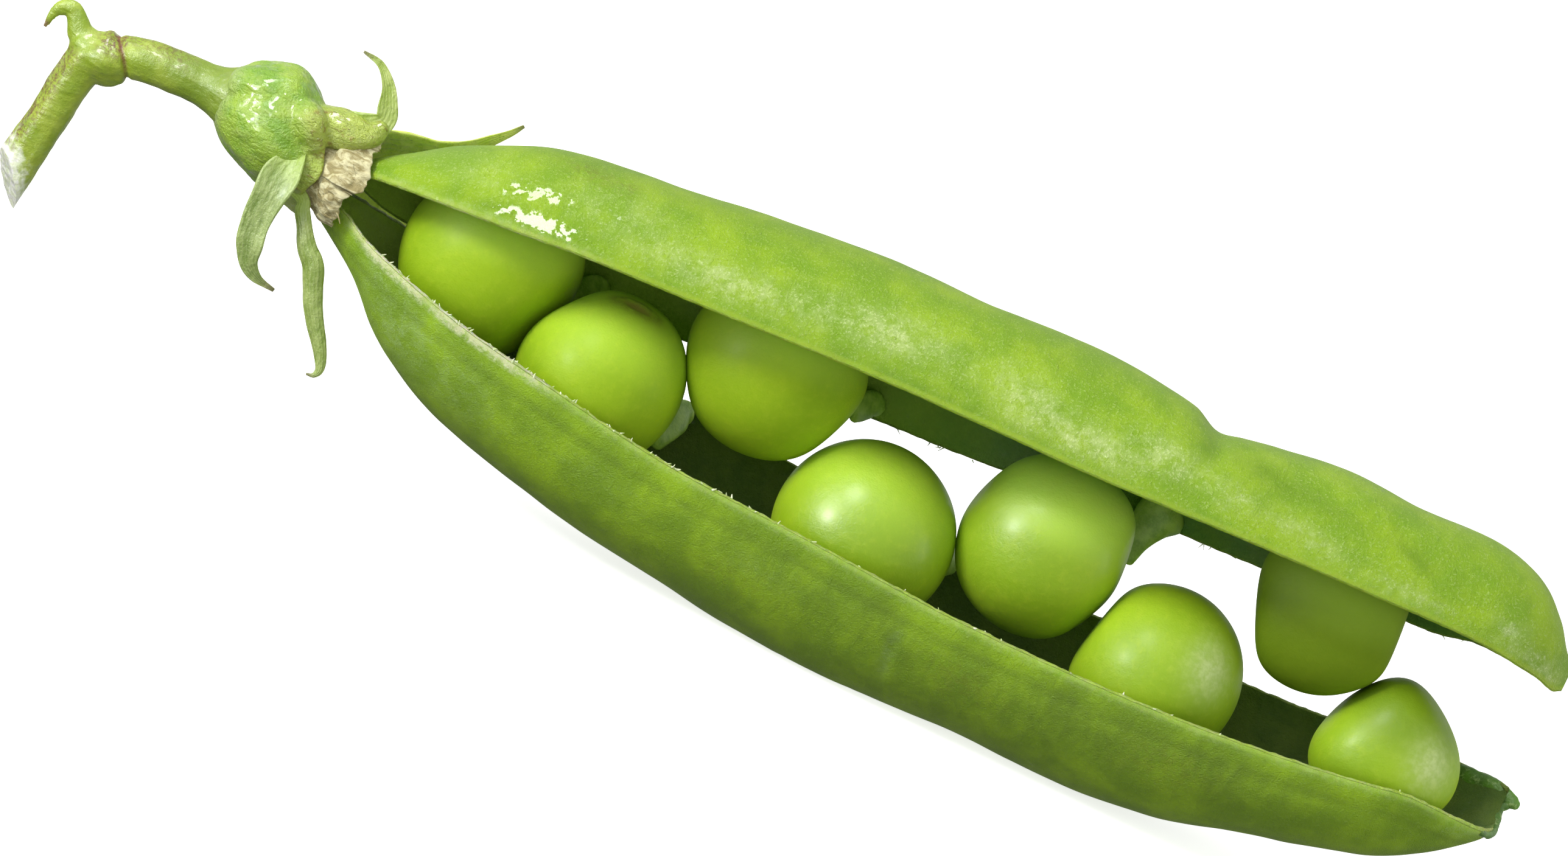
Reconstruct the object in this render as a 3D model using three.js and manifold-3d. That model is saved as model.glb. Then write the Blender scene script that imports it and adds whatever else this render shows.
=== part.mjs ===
// Pea pod, split along both seams and opened like a clam, lying on the belly of its lower valve.
// Millimetres, +Z up. X runs from the stalk (-X) to the tips of the valves (+X) and Y from the open
// front (-Y) to the back. The origin is the middle of the flat resting spot under the lower valve.
import * as THREE from 'three';
import { mergeVertices } from 'three/addons/utils/BufferGeometryUtils.js';
import Module from 'manifold-3d';

const wasm = await Module();
wasm.setup();

// ---------------------------------------------------------------- driving dimensions
const RIM_WALL = 0.8; // pod wall at the split seams
const BELLY_WALL = 1.2; // pod wall at the belly
const VALVE_ROUNDNESS = 2.1; // exponent of the superellipse that the valves follow
const VALVE_STEPS = 46; // sections along a valve
const VALVE_SPANS = 12; // facets from one rim round to the other
const LEAF_THICKNESS = 0.7; // sepals
const PETAL_THICKNESS = 0.6; // dried petals round the base of the pod
const CUP_CLEARANCE = 0.3; // gap that the dried petals keep inside the calyx

// Stations along a valve: x, then y and z of the front rim, y and z of the back rim, and how deep
// the belly lies beyond the line from rim to rim.
const LOWER_STATIONS = [
  [-35.8, -0.9, 11.5, 0.9, 11.4, 1.1],
  [-34.0, -1.75, 11.2, 1.75, 11.3, 2.0],
  [-32.0, -3.2, 10.6, 3.2, 10.7, 2.8],
  [-30.0, -4.2, 10.2, 4.2, 10.2, 4.4],
  [-28.0, -4.9, 9.8, 4.9, 9.9, 5.4],
  [-25.0, -5.6, 9.3, 5.6, 9.4, 6.25],
  [-21.0, -6.1, 8.8, 6.1, 8.8, 6.7],
  [-13.0, -6.5, 7.8, 6.5, 7.8, 7.2],
  [-5.0, -6.6, 7.5, 6.6, 7.2, 7.55],
  [4.0, -6.6, 7.1, 6.6, 7.0, 7.3],
  [12.0, -6.55, 7.2, 6.55, 7.1, 7.1],
  [16.0, -6.45, 7.4, 6.45, 7.2, 7.0],
  [20.0, -6.3, 7.7, 6.3, 7.4, 6.6],
  [24.0, -6.0, 8.1, 6.0, 7.7, 5.8],
  [28.0, -5.3, 8.55, 5.5, 8.35, 5.1],
  [30.0, -4.6, 8.7, 5.1, 8.8, 4.8],
  [32.0, -3.6, 8.45, 4.6, 9.15, 3.85],
  [33.6, -2.4, 8.1, 3.95, 9.4, 2.65],
  [34.7, -1.0, 7.8, 3.2, 9.6, 1.6],
  [35.2, 0.3, 7.6, 2.8, 9.6, 0.9],
];
const UPPER_STATIONS = [
  [-35.8, -0.9, 13.0, 0.8, 12.3, 0.8],
  [-34.0, -1.75, 13.5, 1.6, 12.0, 1.1],
  [-33.0, -2.5, 13.9, 2.3, 11.85, 1.8],
  [-32.0, -3.2, 14.2, 2.9, 11.6, 2.5],
  [-30.0, -4.2, 14.65, 3.8, 11.35, 3.9],
  [-28.0, -4.9, 15.0, 4.4, 11.2, 4.8],
  [-25.0, -5.6, 15.45, 5.0, 11.1, 5.8],
  [-21.0, -6.1, 16.0, 5.4, 11.05, 6.3],
  [-13.0, -6.5, 16.6, 5.6, 11.3, 6.7],
  [-5.0, -6.6, 17.15, 5.6, 11.8, 7.0],
  [2.0, -6.6, 17.4, 5.6, 12.3, 6.95],
  [7.0, -6.6, 17.5, 5.6, 12.9, 6.7],
  [11.0, -6.6, 17.7, 5.6, 13.4, 5.9],
  [12.6, -6.5, 17.75, 5.55, 13.55, 5.2],
  [14.0, -6.5, 17.85, 5.5, 13.65, 5.4],
  [16.0, -6.45, 17.95, 5.5, 13.75, 5.65],
  [20.0, -6.3, 18.1, 5.4, 14.1, 5.8],
  [24.0, -6.0, 18.2, 5.2, 14.7, 5.4],
  [28.0, -5.3, 18.2, 4.6, 15.1, 5.45],
  [30.0, -4.8, 18.05, 4.1, 15.7, 5.0],
  [32.0, -3.9, 17.65, 3.3, 15.9, 4.25],
  [33.4, -2.8, 17.2, 2.5, 16.0, 3.1],
  [34.4, -1.6, 16.7, 1.5, 16.1, 1.8],
  [34.9, -0.3, 16.2, 0.9, 16.2, 0.8],
];

// Funicles: the short stalk that holds each pea, from the back rim of its valve to the pea.
// Each has its root in the rim, a point on its way and its end beside the pea.
const UPPER_FUNICLES = [
  [[-19.3, 5.0, 11.5], [-19.8, 3.7, 12.0], [-20.6, 1.8, 12.5]],
  [[-3.0, 5.1, 12.2], [-3.7, 3.9, 12.8], [-4.85, 2.3, 13.1]],
  [[13.2, 5.0, 13.8], [12.7, 4.2, 12.8], [11.85, 2.6, 12.0]],
  [[21.0, 5.1, 14.4], [20.4, 4.7, 14.3], [19.8, 4.25, 14.1]],
];
const LOWER_FUNICLES = [
  [[-12.9, 6.1, 7.4], [-13.4, 4.6, 6.8], [-14.3, 1.8, 6.6]],
  [[3.5, 6.1, 6.8], [3.3, 4.6, 6.8], [2.75, 2.3, 6.9]],
  [[17.9, 6.1, 6.6], [17.8, 5.3, 6.7], [17.6, 4.4, 6.9]],
  [[27.0, 5.4, 7.4], [27.2, 4.7, 7.6], [27.5, 3.9, 7.9]],
];
const FUNICLE_RADII = [0.9, 0.6, 0.7];

// Beak: the dried end of the style that stays on the lower valve, as middle points with a radius.
const BEAK = [
  [34.2, 2.9, 9.15, 0.6],
  [35.2, 2.6, 9.2, 0.5],
  [35.9, 2.45, 9.1, 0.35],
];

// Peas: centre, radii along x, y and upwards, radius downwards, and the flats pressed into them by
// a neighbour or the pod, each a direction and its distance from the centre.
const PEAS = {
  pea_1: {
    at: [-25.7, 0.15, 11.8],
    radii: [5.0, 3.7, 4.9],
    down: 5.3,
    flats: [[[0.83, -0.45, -0.33], 3.8]],
  },
  pea_2: {
    at: [-18.0, -0.8, 9.2],
    radii: [4.55, 4.25, 4.5],
    down: 5.3,
    flats: [[[-0.83, 0.45, 0.33], 3.65], [[-0.7, 0, 0.72], 4.15]],
  },
  pea_3: {
    at: [-9.8, 0.45, 13.3],
    radii: [5.0, 4.2, 4.7],
    down: 4.95,
    flats: [[[0.93, 0, -0.36], 4.65], [[-0.88, -0.05, -0.47], 4.65]],
  },
  pea_4: {
    at: [-1.8, -0.5, 7.6],
    radii: [4.9, 4.5, 4.95],
    down: 5.3,
    flats: [],
  },
  pea_5: {
    at: [7.25, 0.35, 11.1],
    radii: [4.75, 4.2, 4.95],
    down: 5.1,
    flats: [[[0.99, 0, 0.13], 4.4], [[-0.94, 0, 0.34], 4.6], [[0.9, -0.2, -0.38], 4.35]],
  },
  pea_6: {
    at: [15.4, -0.6, 7.75],
    radii: [4.6, 4.4, 4.75],
    down: 5.2,
    flats: [[[-0.97, 0.1, 0.2], 4.0]],
  },
  pea_7: {
    at: [22.6, 0.4, 13.65],
    radii: [5.2, 3.6, 5.9],
    down: 3.75,
    flats: [
      [[-0.92, 0, -0.4], 3.8],
      [[1, 0, 0.09], 3.6],
      [[0.75, -0.15, -0.66], 3.45],
      [[0.37, 0, -0.93], 3.45],
    ],
  },
  pea_8: {
    at: [28.1, -0.6, 9.0],
    radii: [4.3, 3.5, 4.45],
    down: 3.4,
    flats: [[[-0.97, 0, 0.22], 3.6], [[0.56, 0, 0.83], 3.45], [[-0.75, 0.15, 0.66], 3.7]],
  },
};
const PEA_SIDES = 16;
const PEA_RINGS = 10;

// Stalk: points along the middle with the radius there, from the cut end of the flower stalk up
// to the joint, then along the pod's own stalk into the calyx.
const FLOWER_STALK = [
  [-51.1, 0, 2.9, 1.1],
  [-50.75, 0, 5.6, 1.14],
  [-50.35, 0, 8.1, 1.1],
  [-50.0, 0, 10.7, 1.12],
  [-49.65, 0, 12.3, 1.2],
  [-49.5, 0, 13.0, 0.9],
];
const STALK_JOINT = [
  [-50.1, 0, 12.6, 0.7],
  [-49.3, 0, 12.6, 1.35],
  [-48.6, 0, 12.75, 1.5],
  [-48.0, 0, 13.1, 1.2],
];
const POD_STALK = [
  [-48.6, 0, 12.9, 1.0],
  [-47.4, 0, 13.4, 1.12],
  [-45.6, 0, 13.65, 1.15],
  [-43.6, 0, 13.7, 1.25],
  [-42.6, 0, 13.7, 1.5],
];
const BRACT = [
  [-49.8, 0, 13.0, 0.75],
  [-50.7, 0, 13.7, 0.5],
  [-51.5, 0, 14.25, 0.45],
  [-52.1, 0, 14.0, 0.4],
  [-52.4, 0, 13.2, 0.3],
  [-52.5, 0, 12.6, 0.25],
];
const STALK_CUT = { at: [-50.95, 0, 4.35], facing: [-0.79, 0, -0.61] };

// Calyx: the swollen receptacle with its shallow cup, as middle points with a radius.
const RECEPTACLE = [
  [-42.2, 0, 13.6, 1.7],
  [-41.5, 0, 13.65, 2.3],
  [-40.3, 0, 13.65, 2.75],
  [-39.0, 0, 13.55, 3.15],
  [-38.0, 0, 13.2, 3.05],
  [-36.9, 0, 12.6, 2.8],
  [-36.0, 0, 12.5, 2.85],
];
const CUP_HOLLOW = [
  [-37.9, 0, 12.35, 1.9],
  [-37.4, 0, 12.35, 2.3],
  [-35.0, 0, 12.3, 2.3],
];

// Sepals: points along the middle with the half width there, and the way the blade faces.
const SEPALS = [
  { // short one at the front, curling under
    path: [
      [-38.3, -2.0, 12.7, 1.0],
      [-37.6, -3.0, 11.8, 0.95],
      [-37.55, -3.5, 10.6, 0.75],
      [-37.5, -3.6, 9.2, 0.7],
      [-37.3, -3.6, 7.9, 0.72],
      [-36.8, -3.5, 6.9, 0.6],
      [-36.1, -3.3, 6.35, 0.35],
      [-34.9, -3.1, 6.1, 0.3],
    ],
    facing: [-0.15, -1, 0],
  },
  { // long one at the front, hanging beside the lower valve
    path: [
      [-38.2, -1.5, 11.1, 0.8],
      [-36.8, -2.1, 10.9, 0.8],
      [-35.7, -2.5, 10.5, 0.6],
      [-34.9, -2.7, 9.45, 0.5],
      [-34.0, -2.8, 8.2, 0.5],
      [-32.9, -2.8, 6.65, 0.45],
      [-32.0, -2.8, 5.2, 0.4],
      [-31.4, -2.8, 4.0, 0.35],
      [-31.3, -2.8, 2.9, 0.3],
    ],
    facing: [-0.1, -1, 0.1],
  },
  { // top one, standing up with its tip bent back
    path: [
      [-38.2, -1.2, 14.5, 1.1],
      [-36.8, -1.9, 15.1, 1.35],
      [-35.4, -2.0, 15.5, 1.15],
      [-34.3, -1.4, 16.2, 0.8],
      [-34.0, -0.9, 17.1, 0.68],
      [-34.3, -0.6, 18.0, 0.5],
      [-35.0, -0.4, 18.75, 0.38],
      [-36.3, -0.4, 19.1, 0.3],
    ],
    facing: [0.2, -0.75, 0.6],
  },
  { // long one lying along the back of the upper valve
    path: [
      [-38.2, 1.3, 14.3, 1.1],
      [-36.7, 2.2, 14.3, 1.2],
      [-35.2, 3.1, 14.2, 1.15],
      [-33.8, 3.8, 14.4, 1.1],
      [-32.5, 4.3, 14.6, 1.0],
      [-31.2, 4.7, 14.9, 0.9],
      [-30.1, 4.95, 15.4, 0.8],
      [-29.2, 5.1, 16.1, 0.65],
      [-28.4, 5.2, 17.0, 0.45],
      [-27.6, 5.3, 18.0, 0.3],
    ],
    facing: [-0.3, 0.8, 0.5],
  },
  { // one at the back, hanging behind the lower valve
    path: [
      [-38.2, 1.9, 12.3, 1.0],
      [-36.8, 2.9, 12.1, 1.0],
      [-35.4, 3.7, 11.7, 0.9],
      [-33.8, 4.5, 11.1, 0.8],
      [-32.2, 5.3, 10.2, 0.7],
      [-30.6, 6.3, 9.3, 0.55],
      [-29.2, 7.0, 8.3, 0.4],
      [-28.2, 7.3, 7.4, 0.3],
    ],
    facing: [-0.3, 0.9, -0.1],
  },
];

// Dried petals: a torn collar round the base of both valves, open underneath.
const PETALS = {
  root: [-37.3, 12.35], // x and z of its middle inside the calyx
  mouth: [-34.2, 12.25],
  rootRadius: 2.3 - CUP_CLEARANCE,
  mouthRadius: 2.95,
  flare: [-35.7, -34.8], // x where it widens past the rim of the cup
  fromAngle: -0.5, // radians round the pod's length, 0 at the front and up from there
  toAngle: 3.7,
  tear: 0.6, // how far the torn edge comes and goes
};
const PETAL_SPANS = 30;
const PETAL_STEPS = 6;

const COLOURS = {
  stalk: [0x9cb95a, 0.5],
  calyx: [0x86b83a, 0.42],
  petals: [0xcbbd94, 0.85],
  upperValve: [0x86b827, 0.4],
  lowerValve: [0x6f9c28, 0.42],
  pea: [0xa3c926, 0.35],
};

// ---------------------------------------------------------------- shape helpers
// Value of one column of a station table at x, on smooth cubic pieces through the stations.
function along(stations, column, x) {
  const last = stations.length - 2;
  let i = stations.findIndex((s) => s[0] > x) - 1;
  i = i < -1 ? last : Math.min(Math.max(i, 0), last);
  const [a, b] = [stations[i], stations[i + 1]];
  const before = stations[Math.max(i - 1, 0)];
  const after = stations[Math.min(i + 2, last + 1)];
  const width = b[0] - a[0];
  const t = (x - a[0]) / width;
  const slope = (p, q) => (q[column] - p[column]) / (q[0] - p[0]);
  const [m0, m1] = [slope(before, b) * width, slope(a, after) * width];
  const [t2, t3] = [t * t, t * t * t];
  return (2 * t3 - 3 * t2 + 1) * a[column] + (t3 - 2 * t2 + t) * m0
    + (3 * t2 - 2 * t3) * b[column] + (t3 - t2) * m1;
}

// Solid through a row of closed loops, each with as many points, capped by strips that pair the
// first half of a loop with its second half.
function loftLoops(loops) {
  const [rows, count] = [loops.length, loops[0].length];
  const position = loops.flat(2);
  const index = [];
  const quad = (a, b, c, d) => index.push(a, b, c, a, c, d);
  for (let i = 0; i < rows - 1; i += 1) {
    for (let j = 0; j < count; j += 1) {
      const k = (j + 1) % count;
      quad(i * count + j, i * count + k, (i + 1) * count + k, (i + 1) * count + j);
    }
  }
  for (let j = 0; j < count / 2 - 1; j += 1) {
    const [k, end] = [count - 1 - j, (rows - 1) * count];
    quad(j, k, k - 1, j + 1);
    quad(end + j, end + j + 1, end + k - 1, end + k);
  }
  const geometry = new THREE.BufferGeometry();
  geometry.setAttribute('position', new THREE.Float32BufferAttribute(position, 3));
  geometry.setIndex(index);
  return geometry;
}

// Solid swept along points [x, y, z, half width]. A round section has the half width all round. A
// blade has its own half thickness along the direction it faces.
function sweep(points, { steps, sides = 10, facing = [0, 1, 0], halfThickness = null }) {
  const middle = new THREE.CatmullRomCurve3(points.map((p) => new THREE.Vector3(...p)));
  const sizes = new THREE.CatmullRomCurve3(points.map((p) => new THREE.Vector3(p[3], 0, 0)));
  const face = new THREE.Vector3(...facing).normalize();
  const loops = [];
  for (let i = 0; i <= steps; i += 1) {
    const t = i / steps;
    const centre = middle.getPoint(t);
    const width = sizes.getPoint(t).x;
    const thick = halfThickness ?? width;
    const across = new THREE.Vector3().crossVectors(middle.getTangent(t), face).normalize();
    const out = new THREE.Vector3().crossVectors(middle.getTangent(t), across).normalize();
    const loop = [];
    for (let j = 0; j < sides; j += 1) {
      const angle = (2 * Math.PI * (j + 0.5)) / sides;
      const p = centre.clone().addScaledVector(across, width * Math.cos(angle));
      loop.push(p.addScaledVector(out, thick * Math.sin(angle)).toArray());
    }
    loops.push(loop);
  }
  return loftLoops(loops);
}

function toSolid(geometry) {
  const bare = geometry.clone();
  bare.deleteAttribute('normal');
  bare.deleteAttribute('uv');
  const merged = mergeVertices(bare, 1e-4);
  return new wasm.Manifold(new wasm.Mesh({
    numProp: 3,
    vertProperties: new Float32Array(merged.attributes.position.array),
    triVerts: new Uint32Array(merged.index.array),
  }));
}

function toGeometry(solid) {
  const mesh = solid.getMesh();
  const geometry = new THREE.BufferGeometry();
  geometry.setAttribute('position', new THREE.Float32BufferAttribute(mesh.vertProperties, 3));
  geometry.setIndex(new THREE.Uint32BufferAttribute(mesh.triVerts, 1));
  return geometry;
}

function join(geometries) {
  const solids = geometries.map(toSolid);
  return solids.reduce((whole, next) => whole.add(next));
}

// ---------------------------------------------------------------- pieces
// Section of a valve at x: round the outside from the front rim to the back rim, then back along
// the inside. side is -1 for the lower valve, which bellies down, and 1 for the upper one.
function valveSection(stations, side, x) {
  const value = (column) => along(stations, column, x);
  const front = new THREE.Vector2(value(1), value(2));
  const back = new THREE.Vector2(value(3), value(4));
  const depth = value(5);
  const halfWidth = front.distanceTo(back) / 2;
  const middle = front.clone().add(back).multiplyScalar(0.5);
  const chord = back.clone().sub(front).normalize();
  const bulge = new THREE.Vector2(-chord.y, chord.x).multiplyScalar(side);
  const arc = (half, deep) => {
    const points = [];
    for (let j = 0; j <= VALVE_SPANS; j += 1) {
      const angle = (Math.PI * j) / VALVE_SPANS;
      const c = -Math.cos(angle);
      const u = half * Math.sign(c) * Math.abs(c) ** (2 / VALVE_ROUNDNESS);
      const v = deep * Math.abs(Math.sin(angle)) ** (2 / VALVE_ROUNDNESS);
      const p = middle.clone().addScaledVector(chord, u).addScaledVector(bulge, v);
      points.push([x, p.x, Math.max(p.y, 0)]);
    }
    return points;
  };
  const rimWall = Math.min(RIM_WALL, halfWidth * 0.6);
  const bellyWall = Math.min(BELLY_WALL, depth * 0.6);
  const outside = arc(halfWidth, depth);
  const inside = arc(halfWidth - rimWall, depth - bellyWall);
  return [...outside, ...inside.reverse()];
}

function valve(stations, side, funicles) {
  const [from, to] = [stations[0][0], stations[stations.length - 1][0]];
  const loops = [];
  for (let i = 0; i <= VALVE_STEPS; i += 1) {
    const eased = (1 - Math.cos((Math.PI * i) / VALVE_STEPS)) / 2;
    const x = from + (to - from) * (0.55 * (i / VALVE_STEPS) + 0.45 * eased);
    const loop = valveSection(stations, side, x);
    loops.push(side < 0 ? loop : loop.reverse());
  }
  const stalks = funicles.map((points) => sweep(
    points.map((p, i) => [...p, FUNICLE_RADII[i]]),
    { steps: 4, sides: 6, facing: [1, 0, 0] },
  ));
  return join([loftLoops(loops), ...stalks]);
}

function pea({ at, radii, down, flats }) {
  const geometry = new THREE.SphereGeometry(1, PEA_SIDES, PEA_RINGS);
  geometry.rotateX(Math.PI / 2);
  const position = geometry.attributes.position;
  const presses = flats.map(([way, distance]) => [new THREE.Vector3(...way).normalize(), distance]);
  for (let i = 0; i < position.count; i += 1) {
    const way = new THREE.Vector3().fromBufferAttribute(position, i);
    const upright = way.z > 0 ? radii[2] : down;
    let reach = 1 / Math.hypot(way.x / radii[0], way.y / radii[1], way.z / upright);
    presses.forEach(([press, distance]) => {
      const facing = way.dot(press);
      if (facing > 0) reach = Math.min(reach, distance / facing);
    });
    way.multiplyScalar(reach).add(new THREE.Vector3(...at));
    position.setXYZ(i, way.x, way.y, way.z);
  }
  // A ripe pea's skin is taut, so it bridges every hollow between its points.
  return toGeometry(toSolid(geometry).hull());
}

function stalk() {
  const parts = [
    sweep(FLOWER_STALK, { steps: 8, sides: 12 }),
    sweep(STALK_JOINT, { steps: 5, sides: 12 }),
    sweep(POD_STALK, { steps: 8, sides: 12 }),
    sweep(BRACT, { steps: 10, sides: 6 }),
  ];
  const cutter = new THREE.BoxGeometry(6, 6, 4);
  cutter.translate(0, 0, 2);
  const turn = new THREE.Quaternion().setFromUnitVectors(
    new THREE.Vector3(0, 0, 1),
    new THREE.Vector3(...STALK_CUT.facing).normalize(),
  );
  cutter.applyQuaternion(turn);
  cutter.translate(...STALK_CUT.at);
  return toGeometry(join(parts).subtract(toSolid(cutter)));
}

function calyx() {
  const blades = SEPALS.map(({ path, facing }) => sweep(
    path,
    { steps: 14, sides: 6, facing, halfThickness: LEAF_THICKNESS / 2 },
  ));
  const body = join([sweep(RECEPTACLE, { steps: 12, sides: 18 }), ...blades]);
  return toGeometry(body.subtract(toSolid(sweep(CUP_HOLLOW, { steps: 3, sides: 18 }))));
}

function petals() {
  const { root, mouth, rootRadius, mouthRadius, flare, fromAngle, toAngle, tear } = PETALS;
  const loops = [];
  for (let i = 0; i <= PETAL_SPANS; i += 1) {
    const angle = fromAngle + ((toAngle - fromAngle) * i) / PETAL_SPANS;
    const ragged = tear * (0.55 * Math.sin(5 * angle + 1) + 0.45 * Math.sin(11 * angle));
    const side = (inset) => {
      const points = [];
      for (let j = 0; j <= PETAL_STEPS; j += 1) {
        const t = (j / PETAL_STEPS) * (1 + ragged / (mouth[0] - root[0]));
        const x = THREE.MathUtils.lerp(root[0], mouth[0], t);
        const opening = THREE.MathUtils.smoothstep(x, ...flare);
        const radius = THREE.MathUtils.lerp(rootRadius, mouthRadius, opening) - inset;
        const middle = THREE.MathUtils.lerp(root[1], mouth[1], t);
        points.push([x, -radius * Math.cos(angle), middle + radius * Math.sin(angle)]);
      }
      return points;
    };
    loops.push([...side(0), ...side(PETAL_THICKNESS).reverse()]);
  }
  return toGeometry(toSolid(loftLoops(loops)));
}

// ---------------------------------------------------------------- the pod
const pod = new THREE.Group();

function place(name, geometry, [color, roughness]) {
  const material = new THREE.MeshStandardMaterial({ color, roughness, metalness: 0 });
  const mesh = new THREE.Mesh(geometry, material);
  mesh.name = name;
  pod.add(mesh);
}

place('stem', stalk(), COLOURS.stalk);
place('calyx', calyx(), COLOURS.calyx);
place('withered_petals', petals(), COLOURS.petals);
const upperValve = valve(UPPER_STATIONS, 1, UPPER_FUNICLES);
const lowerValve = valve(LOWER_STATIONS, -1, LOWER_FUNICLES);
const beak = toSolid(sweep(BEAK, { steps: 3, sides: 8, facing: [0, 0, 1] }));
place('upper_valve', toGeometry(upperValve), COLOURS.upperValve);
place('lower_valve', toGeometry(lowerValve.add(beak)), COLOURS.lowerValve);
Object.entries(PEAS).forEach(([name, shape]) => place(name, pea(shape), COLOURS.pea));

export default pod;
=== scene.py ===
"""Pea pod, split along both seams and lying on the belly of its lower valve.

Lengths are millimetres until build() turns them into metres. +X runs from the stalk to the tips
of the valves, +Y from the open front to the back, +Z up. The floor is at z = 0.
"""
import math
import random

import bmesh
import bpy
import numpy as np
from mathutils import Matrix, Vector, noise


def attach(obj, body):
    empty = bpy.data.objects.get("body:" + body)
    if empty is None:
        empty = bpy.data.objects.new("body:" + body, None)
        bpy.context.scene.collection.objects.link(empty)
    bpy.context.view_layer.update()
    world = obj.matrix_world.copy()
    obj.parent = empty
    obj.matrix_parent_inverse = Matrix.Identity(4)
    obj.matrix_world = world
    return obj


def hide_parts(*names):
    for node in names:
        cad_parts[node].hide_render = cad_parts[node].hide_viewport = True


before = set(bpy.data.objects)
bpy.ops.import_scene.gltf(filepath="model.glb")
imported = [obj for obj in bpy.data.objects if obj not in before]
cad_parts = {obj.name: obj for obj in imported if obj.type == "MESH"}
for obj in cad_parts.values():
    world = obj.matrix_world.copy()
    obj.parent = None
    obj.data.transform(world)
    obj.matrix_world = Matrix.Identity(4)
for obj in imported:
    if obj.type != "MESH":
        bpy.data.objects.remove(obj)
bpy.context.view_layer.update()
scene = bpy.context.scene
MM = 0.001

# ---------------------------------------------------------------- camera
ELEVATION = math.radians(15)
ROLL = math.radians(26)
DISTANCE = 461.65
TARGET = np.array([-8, 0, 10.675])


SINE, COSINE = math.sin(ELEVATION), math.cos(ELEVATION)
BACK = np.array([0, -COSINE, SINE])


def add_camera():
    data = bpy.data.cameras.new("camera")
    data.lens = 200
    data.sensor_width = 36
    data.sensor_fit = "HORIZONTAL"
    data.clip_start = 0.01
    camera = bpy.data.objects.new("camera", data)
    r, k = math.sin(ROLL), math.cos(ROLL)
    right = [k, r * SINE, r * COSINE]
    up = [-r, k * SINE, k * COSINE]
    place = (TARGET + DISTANCE * BACK) * MM
    camera.matrix_world = Matrix([*zip(right, up, BACK, place), (0, 0, 0, 1)])
    scene.collection.objects.link(camera)
    scene.camera = camera


def level(points):
    """Across and up, in millimetres, of points as the camera sees them before its roll."""
    x, y, z = (points - TARGET).T
    scale = DISTANCE / (DISTANCE + y * COSINE - z * SINE)
    return x * scale, (y * SINE + z * COSINE) * scale


# ---------------------------------------------------------------- shader helpers
def linear(colour):
    """Linear colour of an 8-bit sRGB one."""
    parts = [v / 255 for v in colour]
    return (*(v / 12.92 if v <= 0.04045 else ((v + 0.055) / 1.055) ** 2.4 for v in parts), 1)


class Signal:
    """What a node puts out. Sums, differences and products of signals are nodes of their own."""

    def __init__(self, nodes, socket):
        self.nodes, self.socket = nodes, socket

    def __add__(self, other):
        return self.nodes.calc("ADD", self, other)

    def __sub__(self, other):
        return self.nodes.calc("SUBTRACT", self, other)

    def __mul__(self, other):
        return self.nodes.calc("MULTIPLY", self, other)

    def ramp(self, low, high, to_low=0, to_high=1):
        """Goes smoothly from to_low to to_high as this goes from low to high."""
        inputs = {"Value": self, "From Min": low, "From Max": high, "To Min": to_low,
                  "To Max": to_high}
        return self.nodes.node("MapRange", inputs, interpolation_type="SMOOTHSTEP")


class Nodes:
    """A node tree, with short names for the nodes that shaders are made of."""

    def __init__(self, tree):
        self.tree = tree

    def feed(self, socket, value):
        """Give a socket a signal, a number, a vector or an 8-bit sRGB colour."""
        if isinstance(value, Signal):
            self.tree.links.new(value.socket, socket)
        else:
            socket.default_value = linear(value) if socket.type == "RGBA" else value

    def node(self, kind, inputs, out=0, **settings):
        node = self.tree.nodes.new("ShaderNode" + kind)
        for name, value in settings.items():
            setattr(node, name, value)
        for key, value in inputs.items():
            self.feed(node.inputs[key], value)
        return Signal(self, node.outputs[out])

    def calc(self, operation, *values):
        return self.node("Math", dict(enumerate(values)), operation=operation)

    def mix(self, amount, a, b):
        return self.node("Mix", {0: amount, 6: a, 7: b}, 2, data_type="RGBA")


class Skin(Nodes):
    """A principled material, painted and embossed in layers. Its noises are in millimetres."""

    def __init__(self, name):
        self.material = bpy.data.materials.new(name)
        self.material.use_nodes = True
        super().__init__(self.material.node_tree)
        self.surface = self.tree.nodes["Principled BSDF"]
        place = self.node("TexCoord", {}, "Object")
        self.place = self.node("VectorMath", {0: place, 1: (1 / MM,) * 3}, operation="MULTIPLY")

    def set(self, **values):
        for name, value in values.items():
            self.feed(self.surface.inputs[name.replace("_", " ")], value)

    def mark(self, name):
        """What build() has written at the points of the mesh under this name."""
        return self.node("Attribute", {}, "Fac", attribute_name=name)

    def noise(self, scale, detail=3, rough=0.6, stretch=(1, 1, 1), warp=0):
        where = self.node("Mapping", {"Vector": self.place, "Scale": stretch})
        return self.node("TexNoise", {"Vector": where, "Scale": scale, "Detail": detail,
                                      "Roughness": rough, "Distortion": warp})

    def mottle(self, noise, a, b, low=0.35, high=0.65):
        """Start the paint with one colour in the hollows of a noise and another on its hills."""
        self.colour = self.mix(noise.ramp(low, high), a, b)

    def paint(self, amount, colour):
        """Lay one more colour over the paint."""
        self.colour = self.mix(amount, self.colour, colour)
        self.set(Base_Color=self.colour)

    def soak(self, weight, radius=(0.6, 0.9, 0.2), depth=1):
        """Let light in: how much, how far each colour goes, and how deep in millimetres."""
        self.set(Subsurface_Weight=weight, Subsurface_Radius=radius, Subsurface_Scale=depth * MM)

    def emboss(self, *layers):
        """Relief from pairs of a height and its depth in millimetres, each over the last."""
        relief = {}
        for height, depth in layers:
            inputs = {"Height": height, "Distance": depth * MM}
            relief = {"Normal": self.node("Bump", inputs | relief)}
        self.set(**relief)


# ---------------------------------------------------------------- lights and floor
LIGHT_DISTANCE = 600
FLOOR_SIZE = 3000
FLOOR_GAP = 0.02


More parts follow.
